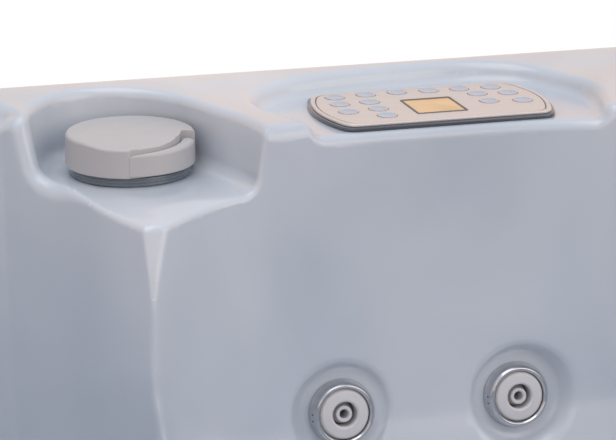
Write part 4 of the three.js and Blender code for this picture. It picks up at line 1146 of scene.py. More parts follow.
def from_knob(p):
    d = p - np.array((KNOB.x, KNOB.y, KNOB_FOOT))
    return d[:, 0], d[:, 1], d[:, 2], np.hypot(d[:, 0], d[:, 1])


def wedge(x, y, start, end, rounding):
    """Negative between two directions about the middle."""
    after = x * math.sin(start) - y * math.cos(start)
    before = y * math.cos(end) - x * math.sin(end)
    return common(after, before, rounding)


def knob_field(p):
    x, y, z, r = from_knob(p)
    side = r - KNOB_RADIUS + KNOB_DRAFT * z / KNOB_HEIGHT
    top = z - KNOB_HEIGHT + KNOB_CROWN * (r / KNOB_RADIUS) ** 2
    cap = common(common(side, top, KNOB_EDGE), -z, 1 * MM)
    scoop = np.hypot(y + SCOOP_CENTRE, z - KNOB_HEIGHT + SCOOP_DEPTH - SCOOP_REACH) - SCOOP_REACH
    cap = common(cap, -scoop, 2.2 * MM)
    inner = np.hypot(x - NOTCH_CENTRE[0], y - NOTCH_CENTRE[1])
    notch = common(NOTCH_RADIUS - inner, wedge(x, y, GRIP_START, GRIP_END, 0.2 * MM), 2.5 * MM)
    return common(cap, -notch, 0.5 * MM)


def grip_field(p):
    x, y, z, r = from_knob(p)
    start = x * math.sin(GRIP_START) - y * math.cos(GRIP_START) + GRIP_GAP
    end = y * math.cos(GRIP_END) - x * math.sin(GRIP_END) + GRIP_END_GAP
    inner = np.hypot(x - NOTCH_CENTRE[0], y - NOTCH_CENTRE[1])
    outer = r - GRIP_OUTER + KNOB_DRAFT * z / KNOB_HEIGHT
    across = np.maximum(outer, NOTCH_RADIUS + 2 * GRIP_GAP - inner)
    plan = common(common(across, end, 5.5 * MM), start, 0.3 * MM)
    top = z - GRIP_TOP + GRIP_SLOPE * (inner - NOTCH_RADIUS) + GRIP_FALL * (x + 2 * MM)
    return common(common(plan, top, 3.2 * MM), GRIP_FOOT - z, 0.8 * MM)


def make_knob():
    low = (KNOB.x - KNOB_RADIUS, KNOB.y - KNOB_RADIUS, KNOB_FOOT)
    high = (KNOB.x + GRIP_OUTER, KNOB.y + KNOB_RADIUS, KNOB_FOOT + KNOB_HEIGHT)
    cap = from_field("knob_cap", knob_field, low, high, 1.0 * MM)
    grip = from_field("knob_grip", grip_field, low, high, 0.8 * MM)
    ride_as(cap, "knob", ["diverter_knob"])
    ride_as(grip, "knob", ["diverter_grip"])
    give(cap, tone("satin_grey"))
    give(grip, tone("satin_grey"))


RING_PROFILE = [
    (36.6, 0, 0), (53.6, 0, 0.4), (54, 0.8, 0.3), (54, 2.6, 0.35), (53.6, 2.9, 0.2), (53.6, 3.1, 0.2),
    (54, 3.4, 0.35), (54, 5.5, 0.35), (53.6, 5.8, 0.2), (53.6, 6.0, 0.2), (53.9, 6.3, 0.3), (53.2, 8, 1.1),
    (36.6, 8, 0),
]


def make_ring():
    foot = (KNOB.x, KNOB.y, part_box("diverter_ring")[0].z)
    ring = softened(piece_of("knob_ring", turned(filleted(RING_PROFILE), foot, loop=True, sides=160)))
    ride_as(ring, "tub", ["diverter_ring"])
    give(ring, tone("ring_gloss"))


# Control panel

PANEL_HALF = (98 * MM, 62 * MM)
PANEL_CORNER = 12 * MM
PANEL_BULGE = 12 * MM
HOUSING_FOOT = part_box("display_window")[0].z - 3.7 * MM
FILM_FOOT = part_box("panel_overlay")[0].z
FILM_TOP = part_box("panel_overlay")[1].z
BOSS_OVERLAP = 1 * MM
WINDOW_HALF = (24 * MM, 26.5 * MM)
WINDOW_GAP = 0.3 * MM
BUTTON_HOLE = 9.5
GROOVE_LEVELS = (1.3 * MM, 1.47 * MM)
HOUSING_RISE = [(1.0, 0), (0.25, 0.3), (0, 1.0), (0, 2.3), (0.25, 3.0), (0.9, 3.4)]
FILM_RISE = [
    (2.7, 0), (2.5, 0.3), (2.5, 1.5), (2.7, 1.95), (3.1, 2.18), (3.6, 2.2), (5.6, 2.2), (5.9, 2.1),
    (6.0, 1.8), (6.0, 1.45), (6.1, 1.4), (6.9, 1.4), (7.0, 1.45), (7.0, 1.85), (7.1, 1.98), (7.4, 2.0),
]


def quadratic(a, b, c, steps):
    t = np.linspace(0, 1, steps, endpoint=False)[:, None]
    return (1 - t) ** 2 * np.array(a) + 2 * t * (1 - t) * np.array(b) + t**2 * np.array(c)


def panel_outline(inset):
    """The panel's outline: straight long sides, rounded corners and bulging ends."""
    x, y = PANEL_HALF[0] - inset, PANEL_HALF[1] - inset
    flat_x, flat_y = x - PANEL_CORNER, y - PANEL_CORNER
    shoulder, bulge = x + 0.3 * PANEL_BULGE, x + 1.7 * PANEL_BULGE
    right = [
        quadratic((-flat_x, -y), (0, -y), (flat_x, -y), 30),
        quadratic((flat_x, -y), (x, -y), (shoulder, -flat_y), 14),
        quadratic((shoulder, -flat_y), (bulge, 0), (shoulder, flat_y), 30),
        quadratic((shoulder, flat_y), (x, y), (flat_x, y), 14),
    ]
    half_way = np.vstack(right)
    return np.vstack([half_way, -half_way]) + (PANEL.x, PANEL.y)


def rounded_box(half_x, half_y, radius, steps=6):
    out = []
    for turn, (sx, sy) in enumerate([(1, 1), (-1, 1), (-1, -1), (1, -1)]):
        for angle in np.linspace(turn * math.pi / 2, (turn + 1) * math.pi / 2, steps + 1):
            x = sx * (half_x - radius) + radius * math.cos(angle)
            out.append((x, sy * (half_y - radius) + radius * math.sin(angle)))
    return np.array(out)


def risen(outline, foot, rises):
    """Outlines one over another: each is asked for by its inset and stands at its rise, both in mm."""
    return stacked([at_height(outline(inset), foot + rise * MM) for inset, rise in rises])


def panel_inset(inset):
    return panel_outline(inset * MM)


def make_panel():
    boss_outline = rounded_box(BOSS[0] / 2, BOSS[1] / 2, 3 * MM) + (PANEL.x, PANEL.y)
    heights = (HOUSING_FOOT - BOSS[2], HOUSING_FOOT + BOSS_OVERLAP)
    boss = stacked([at_height(boss_outline, z) for z in heights])
    housing = piece_of("panel_housing_part", risen(panel_inset, HOUSING_FOOT, HOUSING_RISE))
    cut_with(housing, piece_of("boss", boss), "UNION")
    ride_as(softened(housing), "tub", ["panel_housing"])
    give(housing, tone("dark_gloss"))

    film = piece_of("panel_film", risen(panel_inset, FILM_FOOT, FILM_RISE))
    half_x, half_y = (half + WINDOW_GAP for half in WINDOW_HALF)
    window = rounded_box(half_x, half_y, 2.2 * MM) + (DISPLAY.x, DISPLAY.y)
    holes = [stacked([at_height(window, z) for z in (FILM_FOOT - 2 * MM, FILM_TOP + 2 * MM)])]
    holes += [bore((place.x, place.y, FILM_FOOT), BUTTON_HOLE, -2, 5) for place in BUTTONS.values()]
    cut_with(film, cutter_of(*holes))
    ride_as(softened(film), "tub", ["panel_overlay"])
    give(film, silver_film())
    # The floor of the film's groove takes the dark painted shade
    film.data.materials.append(tone("painted_groove_shade"))
    for face in film.data.polygons:
        middle = face.center
        low, high = GROOVE_LEVELS
        beside = FILM_FOOT + low < middle.z < FILM_FOOT + high and face.normal.z > 0.5
        face.material_index = 1 if beside else 0


DISPLAY = centre_of("display_window")
BUTTONS = {f"button_{i:02d}": centre_of(f"button_{i:02d}") for i in range(1, 16)}
WINDOW_RISE = [(0, 0), (0, 2.2), (0.15, 2.55), (0.5, 2.7), (1.3, 2.7), (1.55, 2.6), (1.7, 2.3), (1.75, 1.9)]


def make_display():
    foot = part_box("display_window")[0].z

    def outline(inset):
        half_x, half_y = WINDOW_HALF[0] - inset * MM, WINDOW_HALF[1] - inset * MM
        return rounded_box(half_x, half_y, 2 * MM - inset * 0.8 * MM) + (DISPLAY.x, DISPLAY.y)

    window = piece_of("display_glass", risen(outline, foot, WINDOW_RISE))
    ride_as(softened(window), "tub", ["display_window"])
    give(window, amber_display())
    # The display's edge takes the dark painted shade and its top the amber
    window.data.materials.append(tone("painted_groove_shade"))
    for face in window.data.polygons:
        cap = len(face.vertices) > 4 and face.normal.z > 0.5
        face.material_index = 0 if cap else 1


BUTTON_PROFILE = [
    (0, -0.2, 0), (8.7, -0.2, 0.2), (9, 0.2, 0.2), (9, 1.3, 0.4), (8.6, 1.7, 0.3), (8.1, 1.6, 0.4),
]
BUTTON_DISH = [(7.6, 1.25), (6.8, 0.9), (5.8, 0.56), (4.5, 0.3), (3.2, 0.15), (1.6, 0.06), (0, 0.03)]


def make_buttons():
    finish = tone("blue_button")
    profile = np.vstack([filleted(BUTTON_PROFILE), np.array(BUTTON_DISH) * MM])
    for name, place in BUTTONS.items():
        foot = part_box(name)[0].z
        button = softened(piece_of(f"{name}_cap", turned(profile, (place.x, place.y, foot), sides=64)))
        ride_as(button, name, [name])
        give(button, finish)


# Jets: profiles along the jet's axis, from the middle of its escutcheon

ESCUTCHEON_PROFILE = [
    (30.1, -5.8, 0), (30.8, -5.8, 0.2), (30.7, -3.4, 0.9), (28.0, 5.0, 1.8), (26.4, 7.3, 1.0),
    (24.9, 7.3, 0.8), (23.4, 5.4, 0.4), (23.4, -2.2, 0), (30.1, -2.2, 0),
]
FACE_PROFILE = [
    (11.5, -28.8, 0), (17.6, -28.8, 0), (17.6, -2.5, 0), (22.9, -2.5, 0.3), (22.9, 4.0, 2.2),
    (20.9, 6.5, 2.2), (13.0, 7.4, 1.1), (11.5, 6.1, 0.5), (11.5, -10, 0),
]
BALL_RADIUS = 10.6
BALL_HEIGHT = -9.5
NOZZLE_RADIUS = 7.6
NOZZLE_BORE = 4.2
NOZZLE_TOP = 4.0


def nozzle_profile():
    start = math.asin(NOZZLE_RADIUS / BALL_RADIUS)
    end = math.pi - math.asin(NOZZLE_BORE / BALL_RADIUS)
    turn = np.linspace(start, end, 14)
    ball = np.column_stack([BALL_RADIUS * np.sin(turn), BALL_HEIGHT + BALL_RADIUS * np.cos(turn)])
    lip = filleted([
        (NOZZLE_BORE, -12, 0), (NOZZLE_BORE, NOZZLE_TOP - 0.9, 0.5), (5.0, NOZZLE_TOP, 0.4),
        (NOZZLE_RADIUS, NOZZLE_TOP, 1.1), (NOZZLE_RADIUS, -1, 0),
    ])
    return np.vstack([lip, ball * MM])


def jet_parts(place, axis, share=1.0):
    """Escutcheon, face and nozzle of a jet, with that share of their usual number of sides."""
    place = np.array(place)
    return (
        turned(filleted(ESCUTCHEON_PROFILE), place, axis, int(120 * share), loop=True),
        turned(filleted(FACE_PROFILE), place, axis, int(96 * share), loop=True),
        turned(nozzle_profile(), place, axis, int(64 * share), loop=True),
    )


SLIT_ANGLES = (math.radians(171), math.radians(183))
SLIT_REACH = 28.4 * MM
SLIT_HEIGHT = 1.6 * MM
SLIT_HALF = (1.5, 0.45, 1.2)
OTHER_SHARE = 0.4


def make_jets():
    steel, matte = polished_steel(), tone("matte_grey")
    for side, jet in zip(("left", "right"), JETS):
        trim, face, nozzle = jet_parts(jet, JET_AXIS)
        escutcheon = piece_of(f"escutcheon_{side}", trim)
        w = frame_about(JET_AXIS)[2]
        slits = []
        for angle in SLIT_ANGLES:
            out = math.cos(angle) * np.array((1, 0, 0)) + math.sin(angle) * np.cross((1, 0, 0), w)
            centre = np.array(jet) + out * SLIT_REACH + w * SLIT_HEIGHT
            slits.append(bar_about(centre, w, out, SLIT_HALF))
        cut_with(escutcheon, cutter_of(*slits))
        ride_as(softened(escutcheon), "tub", [f"jet_escutcheon_{side}"])
        give(escutcheon, steel)
        disc = softened(piece_of(f"face_{side}", face))
        ride_as(disc, f"jet_face_{side}", [f"jet_face_{side}"])
        give(disc, matte)
        tube = softened(piece_of(f"nozzle_{side}", nozzle))
        ride_as(tube, f"jet_nozzle_{side}", [f"jet_nozzle_{side}"])
        give(tube, matte)
    trims, faces = [], []
    for place, axis in OTHER_JETS:
        trim, face, nozzle = jet_parts(place, axis, OTHER_SHARE)
        trims.append(trim)
        faces += [face, nozzle]
    others = [("other_jet_trims", trims, steel, "jet_trim"), ("other_jet_faces", faces, matte, "jet_face")]
    for name, parts, finish, slot_name in others:
        piece = softened(piece_of(name, *parts))
        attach(piece, "tub")
        give(piece, finish)


# Finishes

def srgb(red, green, blue):
    """Linear colour from 0 to 255 screen values."""
    out = []
    for value in (red, green, blue):
        v = value / 255
        out.append(v / 12.92 if v <= 0.04045 else ((v + 0.055) / 1.055) ** 2.4)
    return (*out, 1.0)


class Finish:
    """A material's nodes about one Principled shader."""

    def __init__(self, name, **sockets):
        self.material = bpy.data.materials.new(name)
        self.material.use_nodes = True
        self.nodes = self.material.node_tree.nodes
        self.links = self.material.node_tree.links
        self.shader = self.nodes["Principled BSDF"]
        for key, value in sockets.items():
            self.shader.inputs[key.replace("_", " ")].default_value = value
        self.place = self.add("ShaderNodeTexCoord").outputs["Object"]

    def add(self, kind, inputs=(), **settings):
        node = self.nodes.new(kind)
        for key, value in settings.items():
            setattr(node, key, value)
        for key, value in dict(inputs).items():
            self.put(value, node.inputs[key])
        return node

    def put(self, value, socket):
        if isinstance(value, bpy.types.NodeSocket):
            self.links.new(value, socket)
        else:
            socket.default_value = value

    def into(self, **sockets):
        for key, value in sockets.items():
            self.put(value, self.shader.inputs[key.replace("_", " ")])

    def stretched(self, factors):
        return self.add("ShaderNodeMapping", {"Vector": self.place, "Scale": factors}).outputs[0]

    def noise(self, scale, detail=3.0, rough=0.5, place=None, distortion=0.0):
        inputs = {"Vector": place or self.place, "Scale": scale, "Detail": detail, "Roughness": rough}
        return self.add("ShaderNodeTexNoise", {**inputs, "Distortion": distortion}).outputs["Fac"]

    def levels(self, value, low, high, bottom=0.0, top=1.0):
        inputs = {"Value": value, "From Min": low, "From Max": high, "To Min": bottom, "To Max": top}
        return self.add("ShaderNodeMapRange", inputs).outputs[0]

    def compute(self, operation, a, b=0.0):
        node = self.add("ShaderNodeMath", operation=operation)
        self.put(a, node.inputs[0])
        self.put(b, node.inputs[1])
        return node.outputs[0]

    def mixed(self, factor, a, b):
        node = self.add("ShaderNodeMix", data_type="RGBA")
        self.put(factor, node.inputs[0])
        self.put(a, node.inputs[6])
        self.put(b, node.inputs[7])
        return node.outputs[2]

    def bump(self, height, distance, strength=1.0):
        inputs = {"Height": height, "Distance": distance, "Strength": strength}
        self.into(Normal=self.add("ShaderNodeBump", inputs).outputs[0])


def pearl_acrylic():
    f = Finish("pearl_acrylic", Coat_Weight=0.6, Coat_Roughness=0.12, IOR=1.49)
    # Pearl marbling: the large clouds and the upright streaks are partly the acrylic's own marbling and
    # partly painted reflections of the room on the walls
    cloud = f.noise(3.2, 3.0, 0.5, distortion=0.4)
    marble_and_reflection_streak = f.noise(7.0, 4.0, 0.55, place=f.stretched((1.0, 1.0, 0.6)), distortion=0.5)
    base = f.mixed(f.levels(cloud, 0.35, 0.65), srgb(180, 189, 201), srgb(203, 209, 218))
    # The streaks mix in a lighter cyan grey: painted reflection bands over the real marbling
    f.into(Base_Color=f.mixed(f.levels(marble_and_reflection_streak, 0.4, 0.7, 0.0, 0.4), base, srgb(191, 204, 214)))
    f.into(Roughness=f.levels(f.noise(40.0), 0.3, 0.7, 0.28, 0.36))
    f.bump(f.noise(9.0, 1.0), 0.0004, 0.2)
    return f.material


def give(piece, material):
    piece.data.materials.clear()
    piece.data.materials.append(material)
    piece.data.polygons.foreach_set("material_index", np.zeros(len(piece.data.polygons), np.int32))


def toned(name, colour, rough, spread=0.06, scale=40.0, grain=0.0001, edge=0.4, **sockets):
    """A finish with clouded colour, varied roughness, a fine relief and lighter worn edges."""
    f = Finish(name, **sockets)
    low = (*(c * (1 - spread) for c in colour[:3]), 1)
    high = (*(min(c * (1 + spread), 1) for c in colour[:3]), 1)
    clouds = f.mixed(f.noise(scale * 0.25, 4.0), low, high)
    speckled = f.mixed(f.levels(f.noise(scale * 12, 2.0), 0.35, 0.65, 0.0, 0.5), clouds, low)
    worn = (*(c + (1 - c) * 0.3 for c in colour[:3]), 1)
    pointed = f.add("ShaderNodeNewGeometry").outputs["Pointiness"]
    f.into(Base_Color=f.mixed(f.levels(pointed, 0.52, 0.62, 0.0, edge), speckled, worn))
    f.into(Roughness=f.levels(f.noise(scale, 4.0), 0.3, 0.7, rough - 0.06, rough + 0.06))
    f.bump(f.noise(scale * 10, 3.0), grain, 0.3)
    return f.material


TONES = {
    "satin_grey": dict(
        colour=srgb(184, 183, 185), rough=0.4, spread=0.02, scale=60, grain=0.00006, edge=0.25,
    ),
    "dark_gloss": dict(
        colour=srgb(66, 75, 87), rough=0.14, spread=0.08, scale=50, grain=0.00002, edge=0.25,
        Coat_Weight=0.4, Coat_Roughness=0.05,
    ),
    "ring_gloss": dict(
        colour=srgb(98, 109, 122), rough=0.16, spread=0.05, scale=50, grain=0.00002, edge=0.2,
        Coat_Weight=0.4, Coat_Roughness=0.05,
    ),
    # A dark grey painted as shade in the film's groove and round the display's edge
    "painted_groove_shade": dict(colour=srgb(96, 96, 102), rough=0.45, scale=60, grain=0.00003, edge=0.1),
    "blue_button": dict(
        colour=srgb(172, 181, 195), rough=0.2, spread=0.05, scale=70, grain=0.00003, edge=0.35,
        Coat_Weight=0.5, Coat_Roughness=0.05,
    ),
    "matte_grey": dict(
        colour=srgb(205, 205, 208), rough=0.55, spread=0.03, scale=90, grain=0.00012, edge=0.15,
    ),
    "satin_trim": dict(
        colour=srgb(198, 200, 204), rough=0.38, spread=0.03, scale=60, grain=0.00006, edge=0.25,
    ),
    "frosted_lens": dict(
        colour=srgb(232, 236, 236), rough=0.45, spread=0.02, scale=80, grain=0.00015, edge=0.2,
    ),
}


@cache
def tone(name):
    """One of the toned finishes, the same material each time it is asked for."""
    return toned(name, **TONES[name])


@cache
def silver_film():
    f = Finish("silver_film", Metallic=0.35, IOR=1.5)
    streak = f.noise(30.0, 3.0, place=f.stretched((1.0, 14.0, 1.0)))
    colour = f.mixed(streak, srgb(198, 192, 191), srgb(212, 206, 204))
    f.into(Base_Color=f.mixed(f.levels(f.noise(600.0), 0.4, 0.6, 0.0, 0.35), colour, srgb(218, 212, 208)))
    f.into(Roughness=f.levels(f.noise(80.0), 0.3, 0.7, 0.34, 0.42))
    f.bump(f.noise(900.0), 0.00004, 0.25)
    return f.material


@cache
def amber_display():
    f = Finish("amber_display", Roughness=0.12, Coat_Weight=0.5, Coat_Roughness=0.04)
    cloud = f.noise(22.0, 2.0)
    colour = f.mixed(f.levels(cloud, 0.3, 0.7), srgb(196, 160, 104), srgb(220, 188, 138))
    speckle = f.levels(f.noise(900.0, 1.0), 0.45, 0.6, 0.0, 0.12)
    f.into(Base_Color=f.mixed(speckle, colour, srgb(190, 156, 106)))
    f.into(Roughness=f.levels(f.noise(60.0), 0.3, 0.7, 0.10, 0.18))
    f.bump(f.noise(120.0), 0.00003, 0.2)
    return f.material


@cache
def polished_steel():
    f = Finish("polished_steel", Metallic=1.0)
    turned_lines = f.noise(220.0, 2.0, place=f.stretched((1.0, 0.2, 1.0)))
    f.into(Base_Color=f.mixed(turned_lines, (0.50, 0.51, 0.53, 1), (0.62, 0.63, 0.65, 1)))
    f.into(Roughness=f.levels(f.noise(90.0), 0.3, 0.7, 0.10, 0.2))
    f.bump(f.noise(300.0), 0.00003, 0.2)
    return f.material


def grained(name, dark, light, rough):
    """Composite boards with a wood grain that runs level."""
    f = Finish(name)
    along = f.stretched((2.2, 2.2, 34.0))
    broad = f.noise(3.0, 5.0, 0.6, along, 1.4)
    fine = f.noise(16.0, 6.0, 0.7, f.stretched((3.0, 3.0, 60.0)), 0.6)
    colour = f.mixed(f.levels(broad, 0.3, 0.7), dark, light)
    deep = (*(c * 0.6 for c in dark[:3]), 1)
    colour = f.mixed(f.levels(fine, 0.52, 0.72, 0.0, 0.7), colour, deep)
    pointed = f.add("ShaderNodeNewGeometry").outputs["Pointiness"]
    f.into(Base_Color=f.mixed(f.levels(pointed, 0.52, 0.62, 0.0, 0.3), colour, light))
    f.into(Roughness=f.levels(fine, 0.3, 0.7, rough - 0.08, rough + 0.08))
    f.bump(fine, 0.0012, 0.6)
    return f.material


@cache
def composite_board():
    return grained("composite_board", srgb(118, 108, 99), srgb(150, 139, 128), 0.62)


@cache
def corner_board():
    return grained("corner_board", srgb(98, 91, 85), srgb(124, 116, 108), 0.6)


@cache
def foamed_board():
    f = Finish("foamed_board")
    bubbles = f.noise(55.0, 6.0, 0.65)
    colour = f.mixed(f.levels(bubbles, 0.3, 0.7), (0.60, 0.50, 0.32, 1), (0.79, 0.71, 0.52, 1))
    f.into(Base_Color=colour, Roughness=f.levels(bubbles, 0.3, 0.7, 0.7, 0.9))
    f.bump(bubbles, 0.004, 0.8)
    return f.material


@cache
def brushed_steel():
    f = Finish("brushed_steel", Metallic=1.0)
    lines = f.noise(90.0, 3.0, place=f.stretched((0.3, 6.0, 6.0)))
    f.into(Base_Color=f.mixed(lines, (0.52, 0.53, 0.55, 1), (0.66, 0.67, 0.69, 1)))
    f.into(Roughness=f.levels(lines, 0.3, 0.7, 0.25, 0.42))
    f.bump(lines, 0.0001, 0.4)
    return f.material


@cache
def pleated_fabric():
    f = Finish("pleated_fabric", Roughness=0.85, Sheen_Weight=0.3)
    weave = f.noise(700.0, 2.0)
    f.into(Base_Color=f.mixed(f.levels(weave, 0.35, 0.65), (0.78, 0.79, 0.79, 1), (0.9, 0.91, 0.91, 1)))
    f.into(Roughness=f.levels(f.noise(40.0), 0.3, 0.7, 0.78, 0.92))
    f.bump(weave, 0.0003, 0.5)
    return f.material


give(shell, pearl_acrylic())


# Filter lid, footwell fittings, cabinet boards and corner posts

LID_PROFILE = [
    (0, 0, 0), (49.4, 0, 1), (50, 3, 1), (50, 12.4, 0.3), (59.4, 12.4, 0.3), (60, 13.2, 0.4), (60, 18.2, 2.4),
    (56.5, 21, 3), (47, 21, 1.2), (45.6, 20.2, 1.0), (30, 20.4, 2), (0, 20.4, 0),
]
LID_GRIPS = 26 * MM
GRIP_WIDTH = 9.5 * MM
GRIP_DEPTH = 7.5 * MM


def make_lid():
    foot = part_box("filter_lid")[0].z
    lid = piece_of("filter_lid_part", turned(filleted(LID_PROFILE), (WELL.x, WELL.y, foot), sides=120))
    grips = []
    for side in (-1, 1):
        turn = np.linspace(0, math.pi / 2, 12)
        bowl = [(GRIP_WIDTH * math.sin(a), -GRIP_DEPTH * math.cos(a)) for a in turn]
        bowl += [(GRIP_WIDTH, 6 * MM), (0, 6 * MM)]
        grips.append(turned(bowl, (WELL.x, WELL.y + side * LID_GRIPS, foot + 20.5 * MM), sides=48))
    cut_with(lid, cutter_of(*grips))
    ride_as(softened(lid), "lid", ["filter_lid"])
    give(lid, tone("satin_trim"))


FOOTING_AXIS = np.array((0, 1, math.tan(FOOTWELL_LEAN)))
SUCTION_PROFILE = [
    (20.4, -59.6, 0), (23.7, -59.6, 0.5), (24, -58, 0.5), (24, 0.4, 0), (61, 0.4, 0.5), (62, 1.6, 0.8),
    (60.5, 4.4, 2), (52, 9.5, 6), (30, 13.8, 12), (0, 14, 0),
]
SUCTION_INSIDE = [(0, 9.5, 0), (30, 9.2, 6), (44, 5.4, 2), (44, 3.4, 0.5), (20.4, 3.4, 0)]
SLOT_ROWS = [(18, 8), (30, 14), (41, 20)]
SLOT_HALF = (4, 1.6, 9)
LIGHT_PROFILE = [
    (0, -39.6, 0), (23, -39.6, 1), (23.6, -38, 0), (23.6, 0.4, 0), (47, 0.4, 0.5), (48, 1.6, 0.8),
    (46.8, 4.2, 1.6), (43.4, 5.2, 0.8), (42.4, 4.4, 0.5), (41.6, 5.0, 0.5), (30, 9.8, 8), (0, 11.8, 0),
]


def make_footwell_fittings():
    axis = FOOTING_AXIS / np.linalg.norm(FOOTING_AXIS)
    place = (0, -FITTING_Y, FITTING_HEIGHT)
    profile = np.vstack([filleted(SUCTION_PROFILE), filleted(SUCTION_INSIDE)])
    cover = piece_of("suction_cover_part", turned(profile, place, axis, 96, loop=True))
    u, v, _ = frame_about(axis)
    slots = []
    for radius, count in SLOT_ROWS:
        for k in range(count):
            angle = 2 * math.pi * (k + 0.5) / count
            out = math.cos(angle) * u + math.sin(angle) * v
            centre = np.array(place) + out * radius * MM + axis * 12 * MM
            slots.append(bar_about(centre, axis, out, SLOT_HALF))
    cut_with(cover, cutter_of(*slots))
    ride_as(softened(cover), "tub", ["suction_cover"])
    give(cover, tone("satin_trim"))
    facing = axis * (1, -1, 1)
    other_side = (0, FITTING_Y, FITTING_HEIGHT)
    lens = piece_of("light_lens_part", turned(filleted(LIGHT_PROFILE), other_side, facing, 96))
    ride_as(softened(lens), "tub", ["light_lens"])
    give(lens, tone("frosted_lens"))


PANEL_LOW, PANEL_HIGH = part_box("cabinet_panel_back")
BOARDS = 7
GROOVE = (8 * MM, 3 * MM)
BOARD_ENDS = [(0, 1), (0.4 * MM, 0.3), (1.2 * MM, 0)]
DRAIN_HOLE = 14.6
POST_ENDS = [(0, 1.5), (0.5, 0.4), (1.6, 0)]
POST_INNER = 108


def board_section():
    """Outline of a cabinet panel in (depth, height), its boards rounded towards the grooves."""
    back, front, low, high = (v / MM for v in (PANEL_LOW.y, PANEL_HIGH.y, PANEL_LOW.z, PANEL_HIGH.z))
    each = (high - low) / BOARDS
    width, depth = (v / MM / 2 for v in GROOVE)
    corners = [(back, (low + high) / 2, 0), (back, low, 1.2), (front, low, 2.2)]
    for k in range(1, BOARDS):
        z = low + k * each
        corners += [(front, z - width, 1.6), (front - 2 * depth, z - width * 0.5, 0.9)]
        corners += [(front - 2 * depth, z + width * 0.5, 0.9), (front, z + width, 1.6)]
    corners += [(front, high, 2.2), (back, high, 1.2), (back, (low + high) / 2, 0)]
    return filleted(corners, 4)[:-1]


def both_ends(low, high, rounding):
    """Stations from one end to the other with their insets, from those of one end."""
    return [(low + step, inset) for step, inset in rounding] + [
        (high - step, inset) for step, inset in rounding[::-1]
    ]


def make_cabinet():
    section = board_section()
    middle = section.mean(0)
    finish = composite_board()
    reach = PANEL_HIGH.x
    for turns, side in enumerate(("back", "left", "front", "right")):
        loops = []
        for x, inset in both_ends(-reach, reach, BOARD_ENDS):
            away = section - middle
            size = np.maximum(np.abs(away), 1e-6)
            drawn = middle + away * (1 - np.minimum(inset * MM / size.max(1), 0.5))[:, None]
            loops.append(np.column_stack([np.full(len(section), x), drawn]))
        points, faces = stacked(loops)
        panel = piece_of(f"cabinet_boards_{side}", (quarter_turned(points, turns), faces))
        if side == "front":
            drain = centre_of("drain_valve")
            hole = bore((drain.x, -PANEL_HIGH.y, drain.z), DRAIN_HOLE, -30, 30, (0, 1, 0))
            cut_with(panel, cutter_of(hole))
        ride_as(softened(panel, 30), "tub", [f"cabinet_panel_{side}"])
        give(panel, finish)


def make_posts():
    finish = corner_board()
    low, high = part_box("corner_post_back_right")
    reach = (high.x - low.x) / MM
    turn = np.linspace(0, math.pi / 2, 29)
    arc = np.column_stack([np.cos(turn), np.sin(turn)])
    for turns, corner in enumerate(("back_right", "back_left", "front_left", "front_right")):
        loops = []
        for z, inset in both_ends(low.z / MM, high.z / MM, POST_ENDS):
            outline = np.vstack([arc * (reach - inset), arc[::-1] * (POST_INNER + inset)]) * MM
            loops.append(at_height(outline + (low.x, low.y), z * MM))
        points, faces = stacked(loops)
        post = softened(piece_of(f"corner_post_part_{corner}", (quarter_turned(points, turns), faces)))
        ride_as(post, "tub", [f"corner_post_{corner}"])
        give(post, finish)


make_knob()
make_ring()
make_panel()
make_display()
make_buttons()
make_jets()
make_lid()
make_footwell_fittings()
make_cabinet()
make_posts()


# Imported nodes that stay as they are: each takes the finish of its slot

def dress_nodes():
    finishes = {
        "base": toned("base_plastic", (0.17, 0.18, 0.18), 0.55),
        "frame": foamed_board(),
        "cabinet": composite_board(),
        "corner": corner_board(),
        "pipework": toned("white_pipe", (0.80, 0.80, 0.79), 0.35, spread=0.03),
        "rotor": toned("rotor_plastic", (0.15, 0.16, 0.17), 0.4),
        "motor": toned("motor_paint", (0.19, 0.21, 0.23), 0.42, scale=70),
        "pump": toned("pump_plastic", (0.15, 0.16, 0.17), 0.5),
        "impeller": toned("impeller_plastic", (0.5, 0.5, 0.52), 0.45),
        "heater": brushed_steel(),
        "control_box": toned("powder_coat", (0.55, 0.57, 0.59), 0.5, scale=160, grain=0.0002),
        "filter_trim": tone("satin_trim"),
        "cartridge": pleated_fabric(),
        "drain": toned("drain_plastic", (0.15, 0.16, 0.17), 0.45),
    }
    for part in frame["record"]["subparts"]:
        node = frame["nodes"][part["node"]]
        finish = finishes.get(part["material_slot"])
        if finish:
            for slot in node.material_slots:
                slot.material = finish


dress_nodes()


# Floor, world and lamps

def make_floor():
    bm = bmesh.new()
    bmesh.ops.create_grid(bm, x_segments=2, y_segments=2, size=40)
    mesh = bpy.data.meshes.new("floor")
    bm.to_mesh(mesh)
    bm.free()
    floor = new_object("floor", mesh)
    f = Finish("floor", Roughness=0.8, Base_Color=srgb(238, 238, 238))
    away = f.add("ShaderNodeVectorMath", {0: f.place}, operation="LENGTH").outputs["Value"]
    ray = f.add("ShaderNodeLightPath").outputs
    bent = f.compute("MAXIMUM", ray["Is Glossy Ray"], ray["Is Transmission Ray"])
    seen = f.compute("MAXIMUM", ray["Is Camera Ray"], bent)
    white = f.add("ShaderNodeEmission", {"Color": (1, 1, 1, 1), "Strength": 1.0})
    mix = f.add("ShaderNodeMixShader", {0: f.compute("MULTIPLY", seen, f.levels(away, 1.5, 3.6))})
    f.links.new(f.shader.outputs[0], mix.inputs[1])
    f.links.new(white.outputs[0], mix.inputs[2])
    f.links.new(mix.outputs[0], f.nodes["Material Output"].inputs["Surface"])
    mesh.materials.append(f.material)


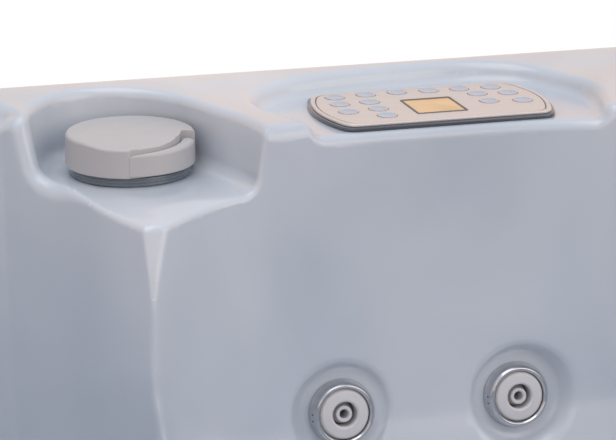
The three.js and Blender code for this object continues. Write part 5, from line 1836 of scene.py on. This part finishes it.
def make_world():
    world = bpy.data.worlds.new("world")
    bpy.context.scene.world = world
    world.use_nodes = True
    nodes, links = world.node_tree.nodes, world.node_tree.links
    back = nodes["Background"]
    place = nodes.new("ShaderNodeTexCoord").outputs["Generated"]
    split = nodes.new("ShaderNodeSeparateXYZ")
    links.new(place, split.inputs[0])
    ramp = nodes.new("ShaderNodeValToRGB")
    links.new(split.outputs["Z"], ramp.inputs[0])
    stops = [(0.0, srgb(255, 219, 195)), (0.42, srgb(255, 226, 205)), (0.62, srgb(235, 242, 254))]
    ramp.color_ramp.elements.new(0.5)
    for element, (where, colour) in zip(ramp.color_ramp.elements, stops):
        element.position = where
        element.color = colour
    rays = nodes.new("ShaderNodeLightPath").outputs
    tint = nodes.new("ShaderNodeMix")
    tint.data_type = "RGBA"
    links.new(rays["Is Camera Ray"], tint.inputs[0])
    links.new(ramp.outputs[0], tint.inputs[6])
    tint.inputs[7].default_value = (1, 1, 1, 1)
    links.new(tint.outputs[2], back.inputs["Color"])
    most = None
    for key in ("Is Camera Ray", "Is Glossy Ray", "Is Transmission Ray"):
        if most is None:
            most = rays[key]
            continue
        node = nodes.new("ShaderNodeMath")
        node.operation = "MAXIMUM"
        links.new(most, node.inputs[0])
        links.new(rays[key], node.inputs[1])
        most = node.outputs[0]
    strength = nodes.new("ShaderNodeMapRange")
    links.new(most, strength.inputs["Value"])
    strength.inputs["To Min"].default_value = WORLD_LEVEL
    strength.inputs["To Max"].default_value = 1.0
    links.new(strength.outputs[0], back.inputs["Strength"])


def soft_lamp(name, place, target, size, power, colour):
    data = bpy.data.lights.new(name, "AREA")
    data.shape = "RECTANGLE"
    data.size, data.size_y = size
    data.energy = power
    data.color = colour
    aimed(name, data, place, target)


WORLD_LEVEL = 0.76
make_floor()
make_world()
soft_lamp("lamp_over", (-0.6, 0.4, 4.2), (0, 0.2, 0.5), (3.0, 2.4), 40, (1.0, 0.97, 0.94))
soft_lamp("lamp_front", (2.6, -2.2, 2.4), (-0.1, 0.8, 0.7), (3.4, 3.4), 52, (1.0, 0.99, 0.97))
soft_lamp("lamp_side", (-3.0, -2.6, 2.0), (-0.2, 0.7, 0.7), (3.0, 3.0), 20, (0.96, 0.98, 1.0))

bpy.context.scene.view_settings.view_transform = "Standard"
